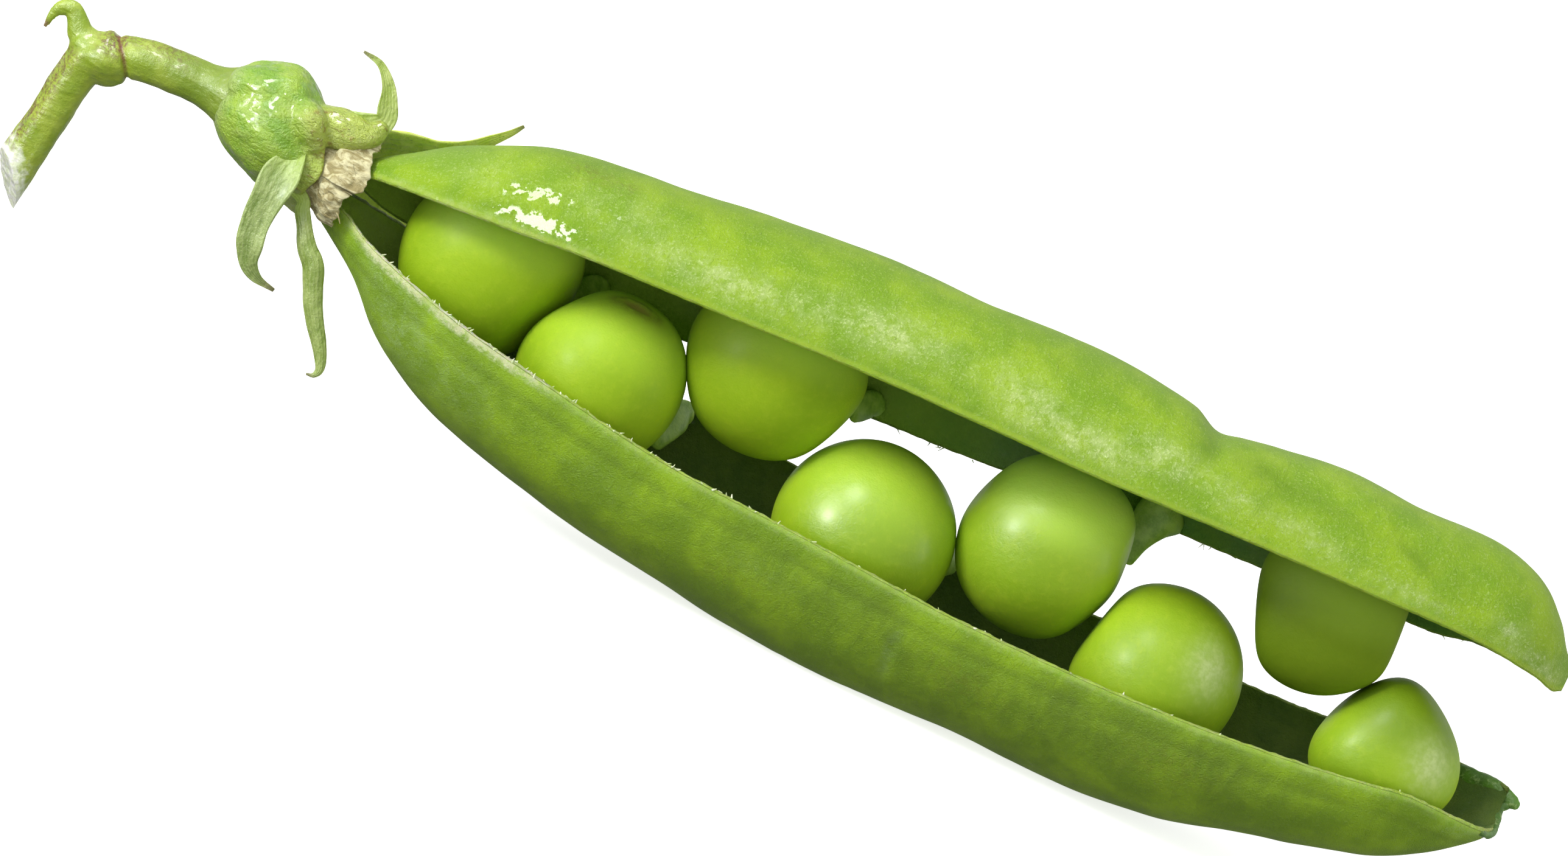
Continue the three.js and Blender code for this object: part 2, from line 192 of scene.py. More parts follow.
def add_softbox(name, way, size, power, diffuse=True, glossy=True):
    """A round light that way out from the target, with its size in metres."""
    name = "softbox_" + name
    data = bpy.data.lights.new(name, "AREA")
    data.shape = "DISK"
    data.size = size
    data.energy = power
    light = bpy.data.objects.new(name, data)
    light.visible_diffuse = diffuse
    light.visible_glossy = glossy
    way = Vector(way).normalized()
    light.location = Vector(TARGET * MM) + way * LIGHT_DISTANCE * MM
    light.rotation_euler = way.to_track_quat("Z", "Y").to_euler()
    scene.collection.objects.link(light)


def add_stage():
    scene.view_settings.view_transform = "Standard"
    world = bpy.data.worlds.new("studio")
    world.use_nodes = True
    sky = Nodes(world.node_tree)
    height = sky.node("SeparateXYZ", {0: sky.node("TexCoord", {}, "Generated")}, "Z")
    background = sky.tree.nodes["Background"]
    sky.feed(background.inputs["Color"], (255, 255, 255))
    sky.feed(background.inputs["Strength"], height.ramp(-0.5, 0.2, 0.24, 0.78))
    scene.world = world
    add_softbox("key", (-0.7, -0.45, 0.5), 0.2, 2.85, glossy=False)
    add_softbox("fill", (-0.1, -0.95, 0.22), 0.5, 0.4, glossy=False)
    add_softbox("core", (-0.72, -0.68, 0.1), 0.12, 2.4, diffuse=False)
    add_softbox("glow", (-0.72, -0.66, 0.16), 0.34, 2.3, diffuse=False)
    add_softbox("glint", (-0.46, -0.6, 0.66), 0.22, 2.4, diffuse=False)
    add_softbox("drops", (-0.41, -0.18, 0.88), 0.24, 2.2, diffuse=False)
    add_softbox("right", (0.98, -0.1, 0.15), 0.26, 0.44)

    mesh = bpy.data.meshes.new("floor")
    half = FLOOR_SIZE * MM / 2
    corners = [(-half, -half, 0), (half, -half, 0), (half, half, 0), (-half, half, 0)]
    mesh.from_pydata(corners, [], [(0, 1, 2, 3)])
    floor = bpy.data.objects.new("floor", mesh)
    floor.location.z = -FLOOR_GAP * MM
    floor.visible_diffuse = False
    floor.visible_glossy = False
    scene.collection.objects.link(floor)
    paper = Skin("floor_paper")
    paper.surface.inputs["Base Color"].default_value = (0.92, 0.92, 0.92, 1)
    paper.set(Roughness=0.9, Emission_Strength=0.72)
    mesh.materials.append(paper.material)


# ---------------------------------------------------------------- tables
# Stations along a valve: x, then y and z of the front rim, y and z of the back rim, and how deep
# the belly lies beyond the line from rim to rim.
LOWER_STATIONS = np.array([
    [-35.8, -0.9, 11.5, 0.9, 11.4, 1.1], [-34, -1.75, 11.2, 1.75, 11.3, 2],
    [-32, -3.2, 10.6, 3.2, 10.75, 2.8], [-30, -4.2, 10.2, 4.2, 10.3, 4.4],
    [-28, -4.9, 9.8, 4.9, 10.05, 5.4], [-25, -5.6, 9.3, 5.6, 9.4, 6.25],
    [-21, -6.1, 8.8, 6.1, 8.8, 6.7], [-13, -6.5, 7.8, 6.5, 7.8, 7.2],
    [-5, -6.6, 7.5, 6.6, 7.2, 7.55], [4, -6.6, 7.1, 6.6, 7, 7.3], [12, -6.55, 7.2, 6.55, 7.1, 7.1],
    [16, -6.45, 7.4, 6.45, 7.2, 7], [20, -6.3, 7.7, 6.3, 7.4, 6.6], [24, -6, 8.1, 6, 7.7, 5.8],
    [28, -5.3, 8.55, 5.5, 8.35, 5.1], [30, -4.6, 8.7, 5.1, 8.8, 4.8],
    [32, -3.6, 8.45, 4.6, 9.15, 3.85], [33.6, -2.4, 8.1, 3.95, 9.4, 2.65],
    [34.7, -1, 7.8, 3.2, 9.6, 1.6], [35.2, 0.3, 7.6, 2.8, 9.6, 0.9],
])
UPPER_STATIONS = np.array([
    [-35.8, -0.9, 13, 0.8, 12.3, 0.8], [-34, -1.75, 13.5, 1.6, 12, 1.1],
    [-33, -2.5, 13.9, 2.3, 11.5, 1.8], [-32, -3.2, 14.2, 2.9, 11.1, 2.5],
    [-30, -4.2, 14.65, 3.8, 10.7, 3.9], [-28, -4.9, 15, 4.4, 10.6, 4.8],
    [-25, -5.6, 15.45, 5, 10.65, 5.8], [-21, -6.1, 16, 5.4, 10.75, 6.3],
    [-13, -6.5, 16.6, 5.6, 11.3, 6.7], [-5, -6.6, 17.15, 5.6, 11.8, 7],
    [2, -6.6, 17.4, 5.6, 12.3, 6.95], [7, -6.6, 17.5, 5.6, 12.9, 6.7],
    [11, -6.6, 17.7, 5.6, 13.4, 5.9], [12.6, -6.5, 17.75, 5.55, 13.55, 5.2],
    [14, -6.5, 17.85, 5.5, 13.65, 5.4], [16, -6.45, 17.95, 5.5, 13.75, 5.65],
    [20, -6.3, 18.1, 5.4, 14.1, 5.8], [24, -6, 18.2, 5.2, 14.7, 5.4],
    [28, -5.3, 18.2, 4.6, 15.1, 5.45], [30, -4.8, 18.05, 4.1, 15.7, 5],
    [32, -3.9, 17.65, 3.3, 15.9, 4.25], [33.4, -2.8, 17.2, 2.5, 16, 3.1],
    [34.4, -1.6, 16.65, 1.5, 16.15, 1.9], [34.95, -0.6, 16.6, 1.1, 16.5, 1.1],
])
# Thickness of a valve's wall at the seams, a little way in from them, and at its belly.
SEAM_EDGE = 0.36
SIDE_WALL = 0.75
BELLY_WALL = 1.2
# 2 would make the section of a valve an ellipse, and more makes it squarer.
VALVE_ROUNDNESS = 2.1

# Funicles: from the back seam to the pea, with the half width there.
FUNICLES = {
    "upper_funicle_1": [[-19.9, 4.9, 11.6, 0.7], [-20.4, 4, 11.8, 0.8], [-21, 2.5, 11.2, 0.95]],
    "upper_funicle_2": [[-3.9, 5, 12.7, 0.55], [-4.4, 4.4, 12.75, 0.75], [-5.1, 3.1, 12.6, 0.8]],
    "upper_funicle_3": [[12.2, 4.9, 14.3, 1.4], [11.85, 4.5, 13.5, 1.1], [11.6, 4, 12.5, 0.65],
                        [11.6, 3.4, 11.5, 0.3]],
    "upper_funicle_4": [[20.9, 4.9, 14.5, 0.6], [20.4, 4.7, 14.4, 0.6], [19.8, 4.25, 14.1, 0.7]],
    "lower_funicle_1": [[-12.9, 5.7, 7.4, 0.55], [-13.3, 4.6, 7.5, 0.85], [-14.2, 2.4, 6.7, 1]],
    "lower_funicle_2": [[3.5, 5.7, 6.7, 0.55], [3.3, 4.6, 7, 0.75], [2.75, 2.6, 7.2, 0.8]],
    "lower_funicle_3": [[17.9, 5.6, 6.5, 0.55], [17.8, 5, 6.7, 0.6], [17.6, 4.2, 6.9, 0.7]],
    "lower_funicle_4": [[27, 4.9, 7.3, 0.55], [27.2, 4.4, 7.6, 0.6], [27.5, 3.7, 7.9, 0.7]],
}
# Beak: the back wall carried on past the end of the lower valve, and the lip that runs from it
# round the end of the wall to the front rim.
BEAK = [
    [32.4, 4.2, 8.75, 0.5], [33.6, 3.6, 8.9, 0.62], [34.5, 3.1, 9, 0.62], [35.2, 2.7, 9.05, 0.55],
    [35.65, 2.5, 9.05, 0.42], [35.9, 2.45, 9, 0.28],
]
END_LIP = [
    [34.6, -1.1, 7.75, 0.16], [35.1, 0, 7.55, 0.22], [35.3, 0.9, 7.6, 0.26], [35.25, 1.7, 8, 0.28],
    [35.2, 2.3, 8.45, 0.3], [35.45, 2.5, 8.75, 0.26],
]

# Peas: centre, radii along x, y and upwards, radius downwards, the flats pressed into them (a
# direction and its distance), dents (a direction, its reach in radians and its depth) and the way
# to the scar that the funicle leaves.
PEAS = {
    "pea_1": (
        [-25.7, 0.15, 11.8], [5, 3.7, 4.9], 5.3,
        [([0.83, -0.45, -0.33], 3.85), ([0.95, -0.3, 0.05], 4.4)], [([0.2, -0.3, 1], 0.7, 0.1)],
        [0.9, 0.3, 0.3]),
    "pea_2": (
        [-18, -0.8, 9.2], [4.55, 4.25, 4.5], 5.3,
        [([-0.83, 0.45, 0.33], 3.7), ([-0.7, 0, 0.72], 4.25)], [([0.65, -0.1, 0.76], 0.45, -0.15)],
        [0.06, -0.24, 1]),
    "pea_3": (
        [-9.8, 0.45, 13.3], [5, 4.2, 4.7], 4.95,
        [([0.93, 0, -0.36], 4.72), ([-0.88, -0.05, -0.47], 4.9)],
        [([0.3, -1, -0.1], 0.6, 0.08), ([-0.7, 0, 0.7], 0.4, -0.15)], [0.8, 0.5, -0.1]),
    "pea_4": (
        [-1.8, -0.5, 7.6], [4.93, 4.5, 4.97], 5.3, [], [([0.5, -0.7, 0.4], 0.6, 0.04)],
        [0.8, 0.5, -0.1]),
    "pea_5": (
        [7.25, 0.35, 11.1], [4.75, 4.2, 4.95], 5.1,
        [([0.99, 0, 0.13], 4.36), ([-0.94, 0, 0.34], 4.68), ([0.9, -0.2, -0.38], 4.4)],
        [([0.66, 0, 0.75], 0.35, -0.14), ([-0.7, 0, -0.71], 0.35, -0.12)], [0.85, 0.45, 0.2]),
    "pea_6": (
        [15.4, -0.6, 7.75], [4.6, 4.4, 4.75], 5.2,
        [([-0.97, 0.1, 0.2], 4.05)], [([0.7, -0.6, 0.5], 0.5, 0.06)], [0.8, 0.5, -0.1]),
    "pea_7": (
        [22.6, 0.4, 13.65], [5.2, 3.6, 5.9], 3.75,
        [([-0.92, 0, -0.4], 3.88), ([1, 0, 0.09], 3.62), ([0.75, -0.15, -0.66], 3.52),
         ([0.37, 0, -0.93], 3.52)],
        [], [-0.6, 0.8, 0.2]),
    "pea_8": (
        [28.1, -0.6, 9], [4.3, 3.5, 4.85], 3.4,
        [([-0.97, 0, 0.22], 3.95), ([0.56, 0, 0.83], 4.25), ([-0.75, 0.15, 0.66], 4.3)],
        [([-0.55, -0.5, 0.75], 0.45, 0.12), ([0.75, -0.6, -0.3], 0.4, -0.12)], [-0.8, 0.5, -0.1]),
}

# How sharply the flats meet the rest of a pea: of most peas, and of the others.
PEA_EDGE = 17
PEA_EDGES = {"pea_7": 10, "pea_8": 6}
# Half length and half width of a scar, as parts of the pea's radius.
SCAR_HALF = (0.19, 0.085)
# How glossy each pea's skin is, how much painted light its top has (painted shade below 0), and
# how much painted shadow dims its colour.
PEA_SKINS = {
    "pea_1": (0.08, 0.8, 0), "pea_2": (0.14, 0.3, 0), "pea_3": (0.05, 1, 0.05),
    "pea_4": (0.9, 0.3, 0), "pea_5": (0.55, 1, 0), "pea_6": (0.32, 0, 0), "pea_7": (0, 0.5, 0.8),
    "pea_8": (0.32, -0.7, 0),
}
# Pale patches on the peas, partly wax and partly painted sheen from the light at the right: which
# way they face and their reach in radians.
PEA_BLOOM_AND_SHEEN = {
    "pea_6": ([0.53, -0.68, 0.51], 0.32),
    "pea_8": ([0.6, -0.71, 0.37], 0.34),
}

FLOWER_STALK = [
    [-51.1, 0, 2.9, 1.1], [-50.75, 0, 5.6, 1.14], [-50.35, 0, 8.1, 1.1], [-50, 0, 10.7, 1.12],
    [-49.65, 0, 12.3, 1.2], [-49.5, 0, 13, 0.9],
]
STALK_JOINT = [
    [-50.3, 0, 12.8, 0.9], [-49.5, 0, 12.6, 1.33], [-48.75, 0, 12.62, 1.43], [-48.3, 0, 12.8, 1.3],
]
POD_STALK = [
    [-48.9, 0, 12.8, 1.05], [-47.9, 0, 13.15, 1.12], [-46.5, 0, 13.47, 1.17],
    [-44.7, 0, 13.63, 1.17], [-43.2, 0, 13.68, 1.25], [-42, 0, 13.7, 1.7],
]
BRACT = [
    [-49.8, 0, 12.8, 0.8], [-50.6, 0, 13.25, 0.65], [-51, 0, 13.75, 0.52], [-51.5, 0, 14.2, 0.4],
    [-52.05, 0, 14.05, 0.36], [-52.38, 0, 13.55, 0.24], [-52.5, 0, 12.7, 0.13],
]
# The slanting cut: a point on it and the way it faces.
STALK_CUT = ([-50.95, 0, 4.35], [-0.7, -0.46, -0.55])
# x and z of the ring where the pod's stalk leaves the joint.
STALK_RING = (-48.05, 13.2)
# The calyx is rough outside a core, which has this height and this radius.
CALYX_AXIS = 13.2
CALYX_CORE = 2
RECEPTACLE = [
    [-42.5, 0, 13.7, 1.3], [-41.5, 0, 13.72, 2.3], [-40.4, 0, 13.7, 2.85], [-39.3, 0, 13.62, 3.18],
    [-38.4, 0, 13.4, 3.15], [-37.4, 0, 12.9, 2.85], [-36.6, 0, 12.55, 2.7], [-36, 0, 12.5, 2.7],
]
CUP_HOLLOW = [
    [-35.95, 0, 12.45, 2.4], [-36.6, 0, 12.4, 2.25], [-37.5, 0, 12.35, 2.1],
    [-37.85, 0, 12.35, 1.4],
]
# Swollen roots of the sepals, grown together with the receptacle.
LOBES = [
    [[-38.7, -1.8, 15.3, 0.6], [-37.9, -2, 15.05, 0.95], [-37.2, -2.1, 14.5, 0.95],
     [-36.8, -2.1, 13.9, 0.7]],
    [[-37.8, -0.8, 14.5, 0.9], [-36.4, -1, 14.9, 1.15], [-35.3, -1.15, 15.1, 1.1],
     [-34.4, -1.15, 15.5, 0.8], [-33.95, -1.05, 16.1, 0.5]],
    [[-38.9, -1.3, 12.8, 1.2], [-38.1, -1.7, 12.5, 1], [-37.5, -1.9, 12.1, 0.6]],
    [[-41.6, -0.9, 14.8, 1.1], [-40.2, -1.2, 15.2, 1.2], [-38.9, -1.2, 15.5, 1.1]],
    [[-40.8, -1.4, 13.4, 1.15], [-39.4, -1.8, 13.2, 1.25], [-38.2, -1.8, 12.9, 1]],
    [[-38, 1.6, 14, 1.2], [-36.6, 2, 14.1, 1], [-35.6, 2.3, 14.2, 0.7]],
    [[-38, 1.6, 12.2, 1.2], [-36.9, 2.2, 12.1, 1], [-36, 2.6, 11.9, 0.7]],
]
# How much young green each sepal has; the others are all young green. That green is made pale, as
# painted light on the sepals behind, which lie in shade.
GREEN_AND_LIGHT = {"sepal_front_short": 0, "sepal_front_long": 0.12, "sepal_top": 0.3}
# Sepals: points along the middle with the half width there, the way the blade faces, how much it
# is cupped, and how much its edges wave.
SEPALS = {
    "sepal_front_short": ([
        [-37.45, -2, 13.5, 0.5], [-37.4, -2.75, 12.9, 0.62], [-37.6, -3.3, 11.9, 1.05],
        [-37.7, -3.55, 10.6, 0.92], [-37.7, -3.6, 9.2, 0.8], [-37.5, -3.6, 7.9, 0.72],
        [-37.2, -3.5, 6.95, 0.5], [-36.5, -3.3, 6.3, 0.3], [-35.4, -3.1, 6.05, 0.1],
    ], [-0.15, -1, 0], -0.3, 0.06),
    "sepal_front_long": ([
        [-37.9, -1.6, 11.6, 0.5], [-36.2, -2.2, 11, 0.38], [-35.9, -2.4, 10.45, 0.42],
        [-35.4, -2.6, 9.75, 0.44], [-34.75, -2.75, 8.8, 0.55], [-34, -2.8, 8, 0.58],
        [-33.2, -2.8, 6.1, 0.5], [-32.1, -2.8, 4.4, 0.4], [-31.5, -2.8, 3.3, 0.27],
        [-31.6, -2.8, 2.75, 0.14], [-32, -2.8, 2.6, 0.07],
    ], [-0.1, -1, 0.1], 0.3, 0.12),
    "sepal_top": ([
        [-36.4, -1, 14.9, 0.9], [-35, -1.1, 15.5, 0.95], [-34.1, -1, 16.4, 0.62],
        [-34.25, -0.9, 17.25, 0.53], [-34.65, -0.7, 18.2, 0.36], [-35.5, -0.5, 19, 0.2],
        [-36.6, -0.4, 19.2, 0.08],
    ], [0.3, -0.9, 0.3], -0.35, 0.08),
    "sepal_back_long": ([
        [-37.6, 1.3, 13.9, 1.2], [-36, 2.2, 13.9, 1.5], [-34.4, 3, 14, 1.5],
        [-32.6, 3.6, 14.55, 1.25], [-31, 4, 14.95, 1.1], [-29.7, 4.4, 15.75, 0.75],
        [-28.7, 4.7, 16.7, 0.42], [-28, 4.8, 17.4, 0.25], [-27.5, 4.9, 18.05, 0.1],
    ], [-0.3, 0.8, 0.5], 0.2, 0.12),
    "sepal_back_low": ([
        [-38.2, 1.9, 12.3, 1], [-36.8, 2.9, 12.1, 1], [-35.4, 3.7, 11.7, 0.9],
        [-33.8, 4.5, 11.1, 0.8], [-32.2, 5.3, 10.2, 0.7], [-30.6, 6.3, 9.3, 0.5],
        [-29.2, 7, 8.3, 0.32], [-28.2, 7.3, 7.4, 0.14],
    ], [-0.3, 0.9, -0.1], 0.2, 0.1),
}
# Dried petals: from and to angle round the axis, root x, mouth x, radius at the mouth, how torn
# the edge is, and a seed. Then the radius at the root and the height of the axis.
PETALS = [
    ("withered_petals", -0.5, 3.7, -37.3, -34.25, 2.95, 0.55, 0),
    ("withered_petal_upper", 0.15, 1.5, -37, -33.65, 3.05, 0.5, 5),
    ("withered_petal_lower", -0.75, 0.12, -36.8, -34.2, 2.9, 0.45, 9),
]
PETAL_ROOT = 2.05
PETAL_AXIS = 12.35
# Height of the axis and radius of the ring where their whiskers are rooted.
WHISKER_AXIS = 12.3
WHISKER_RING = 2.9


# ---------------------------------------------------------------- mesh helpers
def curve(xs, rows, x):
    """Rows of numbers at x, on smooth cubic pieces through the given rows, which are at xs."""
    i = np.clip(np.searchsorted(xs, x, side="right") - 1, 0, len(xs) - 2)

    def slope(a, b):
        return (rows[b] - rows[a]) / (xs[b] - xs[a])[..., None] * width

    width = (xs[i + 1] - xs[i])[..., None]
    t = (x - xs[i])[..., None] / width
    m0, m1 = slope(np.maximum(i - 1, 0), i + 1), slope(i, np.minimum(i + 2, len(xs) - 1))
    return ((2 * t**3 - 3 * t**2 + 1) * rows[i] + (t**3 - 2 * t**2 + t) * m0
            + (3 * t**2 - 2 * t**3) * rows[i + 1] + (t**3 - t**2) * m1)


def section(stations, x):
    """What a station table says at x: its columns from the second on."""
    return curve(stations[:, 0], stations[:, 1:], x)


def spline(rows, count):
    """That many rows along a smooth curve through the given rows, evenly spread in index."""
    return curve(np.arange(len(rows)), np.array(rows), np.linspace(0, len(rows) - 1, count))


def unit(v):
    """The same direction, or rows of directions, with length 1."""
    return v / np.maximum(np.linalg.norm(v, axis=-1, keepdims=True), 1e-9)


def ripple(points, scale, seed=0, stretch=(1, 1, 1)):
    """Smooth noise from -1 to 1 at each point, with features about 1/scale millimetres wide."""
    q = points * np.asarray(stretch) * scale + seed
    return np.array([noise.noise(v) for v in q.tolist()])


def step(edge0, edge1, x):
    """Goes smoothly from 0 to 1 as x goes from edge0 to edge1."""
    t = np.clip((x - edge0) / (edge1 - edge0), 0, 1)
    return t * t * (3 - 2 * t)


def bell(x, width):
    """1 where x is 0, falling away on both sides of it."""
    return np.exp(-(x / width) ** 2)


def spot(a, b, patches):
    """Sum of soft patches, each (a, b, half width, half height, turn in degrees, strength)."""
    total = 0
    for pa, pb, ra, rb, turn, strength in patches:
        c, s = math.cos(math.radians(turn)), math.sin(math.radians(turn))
        u, v = (a - pa) * c + (b - pb) * s, (b - pb) * c - (a - pa) * s
        total = total + strength * bell(u, ra) * bell(v, rb)
    return total


def grid_normals(grid, closed=True):
    """Unit normals of a grid of points, whose rows are closed rings unless told otherwise."""
    if closed:
        cols = np.roll(grid, -1, axis=1) - np.roll(grid, 1, axis=1)
    else:
        cols = np.gradient(grid, axis=1)
    return unit(np.cross(np.gradient(grid, axis=0), cols)).reshape(-1, 3)


def ring_faces(rows, count):
    i, j = np.meshgrid(np.arange(rows - 1) * count, np.arange(count), indexing="ij")
    k = (j + 1) % count
    return np.stack([i + j, i + k, i + count + k, i + count + j], -1).reshape(-1, 4).tolist()


def capped(rings):
    """Points and faces of a solid with rings of points round it and a flat face at each end."""
    rows, sides = len(rings), len(rings[0])
    caps = [list(range(sides))[::-1], list(range((rows - 1) * sides, rows * sides))]
    return np.vstack(rings), ring_faces(rows, sides) + caps


def circle(t, angle):
    return np.cos(angle), np.sin(angle)


def tube(points, steps, sides, facing=(0, 1, 0), shape=circle, round_ends=True):
    """A closed tube along points [x, y, z, half width]; shape(t, angle) gives the offset across
    and outwards for a ring, as a pair of arrays in units of the half width."""
    path = spline(points, steps)
    centre, width = path[:, :3], np.maximum(path[:, 3], 0.02)
    tangent = unit(np.gradient(centre, axis=0))
    across = unit(np.cross(tangent, facing))
    out = np.cross(tangent, across)
    angle = 2 * math.pi * (np.arange(sides) + 0.5) / sides
    rings = []
    for i in range(steps):
        u, v = shape(i / (steps - 1), angle)
        rings.append(centre[i] + width[i] * (u[:, None] * across[i] + v[:, None] * out[i]))

    def dome(i, way):
        return [centre[i] + (rings[i] - centre[i]) * math.sqrt(1 - lift**2)
                + way * tangent[i] * width[i] * lift * 0.7 for lift in (0.45, 0.8, 0.96)]

    if round_ends:
        rings = dome(0, -1)[::-1] + rings + dome(steps - 1, 1)
    return capped(rings)


def to_bmesh(verts, faces):
    mesh = bmesh.new()
    rows = [mesh.verts.new(v) for v in verts.tolist()]
    for face in faces:
        mesh.faces.new([rows[i] for i in face])
    return mesh


def from_bmesh(mesh):
    """Its points and its faces, turned so that their normals point out."""
    bmesh.ops.recalc_face_normals(mesh, faces=mesh.faces)
    mesh.verts.index_update()
    verts = np.array([v.co[:] for v in mesh.verts])
    faces = [[v.index for v in f.verts] for f in mesh.faces]
    mesh.free()
    return verts, faces


def outward(verts, faces):
    return from_bmesh(to_bmesh(verts, faces))[1]


def merged(parts):
    """One mesh of several closed ones, with their faces turned outward."""
    rows, start = [], 0
    for verts, faces in parts:
        rows += [[i + start for i in face] for face in outward(verts, faces)]
        start += len(verts)
    return np.vstack([verts for verts, _ in parts]), rows


def fuse(parts):
    """Overlapping closed meshes grown together into one skin."""
    verts, faces = merged(parts)
    mesh = bpy.data.meshes.new("fusing")
    mesh.from_pydata(verts.tolist(), [], faces)
    obj = bpy.data.objects.new("fusing", mesh)
    scene.collection.objects.link(obj)
    remesh = obj.modifiers.new("remesh", "REMESH")
    remesh.mode = "VOXEL"
    remesh.voxel_size = 0.1
    soften = obj.modifiers.new("smooth", "SMOOTH")
    soften.iterations = 3
    result = obj.evaluated_get(bpy.context.evaluated_depsgraph_get()).to_mesh()
    verts = np.array([v.co[:] for v in result.vertices])
    faces = [list(p.vertices) for p in result.polygons]
    bpy.data.objects.remove(obj)
    bpy.data.meshes.remove(mesh)
    return verts, faces


def pushed(verts, faces, push):
    """The points moved along their normals."""
    mesh = bpy.data.meshes.new("normals")
    mesh.from_pydata(verts.tolist(), [], faces)
    normal = np.array([v.normal[:] for v in mesh.vertices])
    bpy.data.meshes.remove(mesh)
    return verts + normal * push[:, None]


def build(name, verts, faces, skin, slot, replaces=(), marks=None, split=None):
    """One piece of the pod, riding on its body. Marks are numbers at the points for the skin to
    read, and edges bent by more degrees than split are kept sharp."""
    mesh = bpy.data.meshes.new(name)
    mesh.from_pydata((verts * MM).tolist(), [], faces)
    for key, values in (marks or {}).items():
        layer = mesh.attributes.new(key, "FLOAT", "POINT")
        layer.data.foreach_set("value", np.asarray(values, np.float32))
    mesh.shade_smooth()
    mesh.materials.append(skin.material)
    obj = bpy.data.objects.new(name, mesh)
    scene.collection.objects.link(obj)
    if split:
        mesh.set_sharp_from_angle(angle=math.radians(split))
    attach(obj, "root")
    if replaces:
        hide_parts(*replaces)


# ---------------------------------------------------------------- valves
ROWS = 430
SPANS = 52
RIM_SPANS = 5
# What the mark "kind" of a valve says.
OUTSIDE, INSIDE, BACK_RIM, FRONT_RIM = range(4)


def valve_grid(stations, side):
    """Rings of a valve: round the outside from front rim to back rim, over the back rim, back
    round the inside, and over the front rim. Returns the points, what is known at each, and the
    way that leads off its lip."""
    k = np.linspace(0, 1, ROWS)
    first, last = stations[0, 0], stations[-1, 0]
    xs = first + (last - first) * (0.62 * k + 0.38 * (1 - np.cos(math.pi * k)) / 2)
    front, back, depth = np.split(section(stations, xs), [2, 4], axis=1)
    half = np.linalg.norm(back - front, axis=1, keepdims=True) / 2
    middle = (front + back) / 2
    chord = (back - front) / (2 * half)
    bulge = np.stack([-chord[:, 1], chord[:, 0]], -1) * side
    rim = np.minimum(SEAM_EDGE, half * 0.6)
    belly = np.minimum(BELLY_WALL, depth * 0.6)
    angle = np.linspace(0, math.pi, SPANS + 1)
    c, s = -np.cos(angle), np.abs(np.sin(angle))
    power = 2 / VALVE_ROUNDNESS
    uu, vv = np.sign(c) * np.abs(c) ** power, s**power
    over = math.pi * np.arange(1, RIM_SPANS + 1) / (RIM_SPANS + 1)

    def place(u, v):
        """Points that far along the line from rim to rim, and that far out from it."""
        yz = middle[:, None] + u[:, :, None] * chord[:, None] + v[:, :, None] * bulge[:, None]
        x = np.broadcast_to(xs[:, None, None], yz.shape[:2] + (1,))
        return np.concatenate([x, yz], axis=2)

    def mirrored(values):
        """Values of the outside, held over the back rim and repeated on the inside."""
        last = np.repeat(values[:, -1:], RIM_SPANS, 1)
        first = np.repeat(values[:, :1], RIM_SPANS, 1)
        return np.hstack([values, last, values[:, ::-1], first])

    outside = place(half * uu, depth * vv)
    wall = rim + (SIDE_WALL - SEAM_EDGE) * step(0, 0.5, vv)
    inside = place((half - wall) * uu, (depth - belly) * vv)
    ru, rv = np.cos(over) * rim / 2, -np.sin(over) * rim * 0.32
    back_rim = place(half - rim / 2 + ru, rv)
    front_rim = place(rim / 2 - half + ru, rv)
    grid = np.concatenate([outside, back_rim, inside[:, ::-1], front_rim], axis=1)
    kinds = [OUTSIDE, BACK_RIM, INSIDE, FRONT_RIM]
    gaps = np.linalg.norm(np.diff(outside, axis=1), axis=2)
    from_front = mirrored(np.hstack([0 * half, np.cumsum(gaps, axis=1)]))
    facts = {
        "x": xs[:, None],
        "half": half,
        "kind": np.repeat(kinds, [SPANS + 1, RIM_SPANS, SPANS + 1, RIM_SPANS]),
        "around": mirrored(np.linspace(0, 1, SPANS + 1)[None]),
        "from_front": from_front,
        "from_back": from_front.max(axis=1, keepdims=True) - from_front,
    }
    facts = {key: np.broadcast_to(v, grid.shape[:2]).reshape(-1) for key, v in facts.items()}
    return grid, facts, np.repeat(np.insert(-bulge, 0, 0, axis=1), grid.shape[1], axis=0)


def valve_faces():
    """The rings joined up, and the wall closed between outside and inside at both ends."""
    inner = 2 * SPANS + RIM_SPANS + 1
    count = inner + RIM_SPANS + 1
    cap = [[j, inner - j, inner - j - 1, j + 1] for j in range(SPANS)]
    cap += [list(range(SPANS, SPANS + RIM_SPANS + 2)), [*range(inner, count), 0]]
    last = (ROWS - 1) * count
    return ring_faces(ROWS, count) + cap + [[last + j for j in face[::-1]] for face in cap]


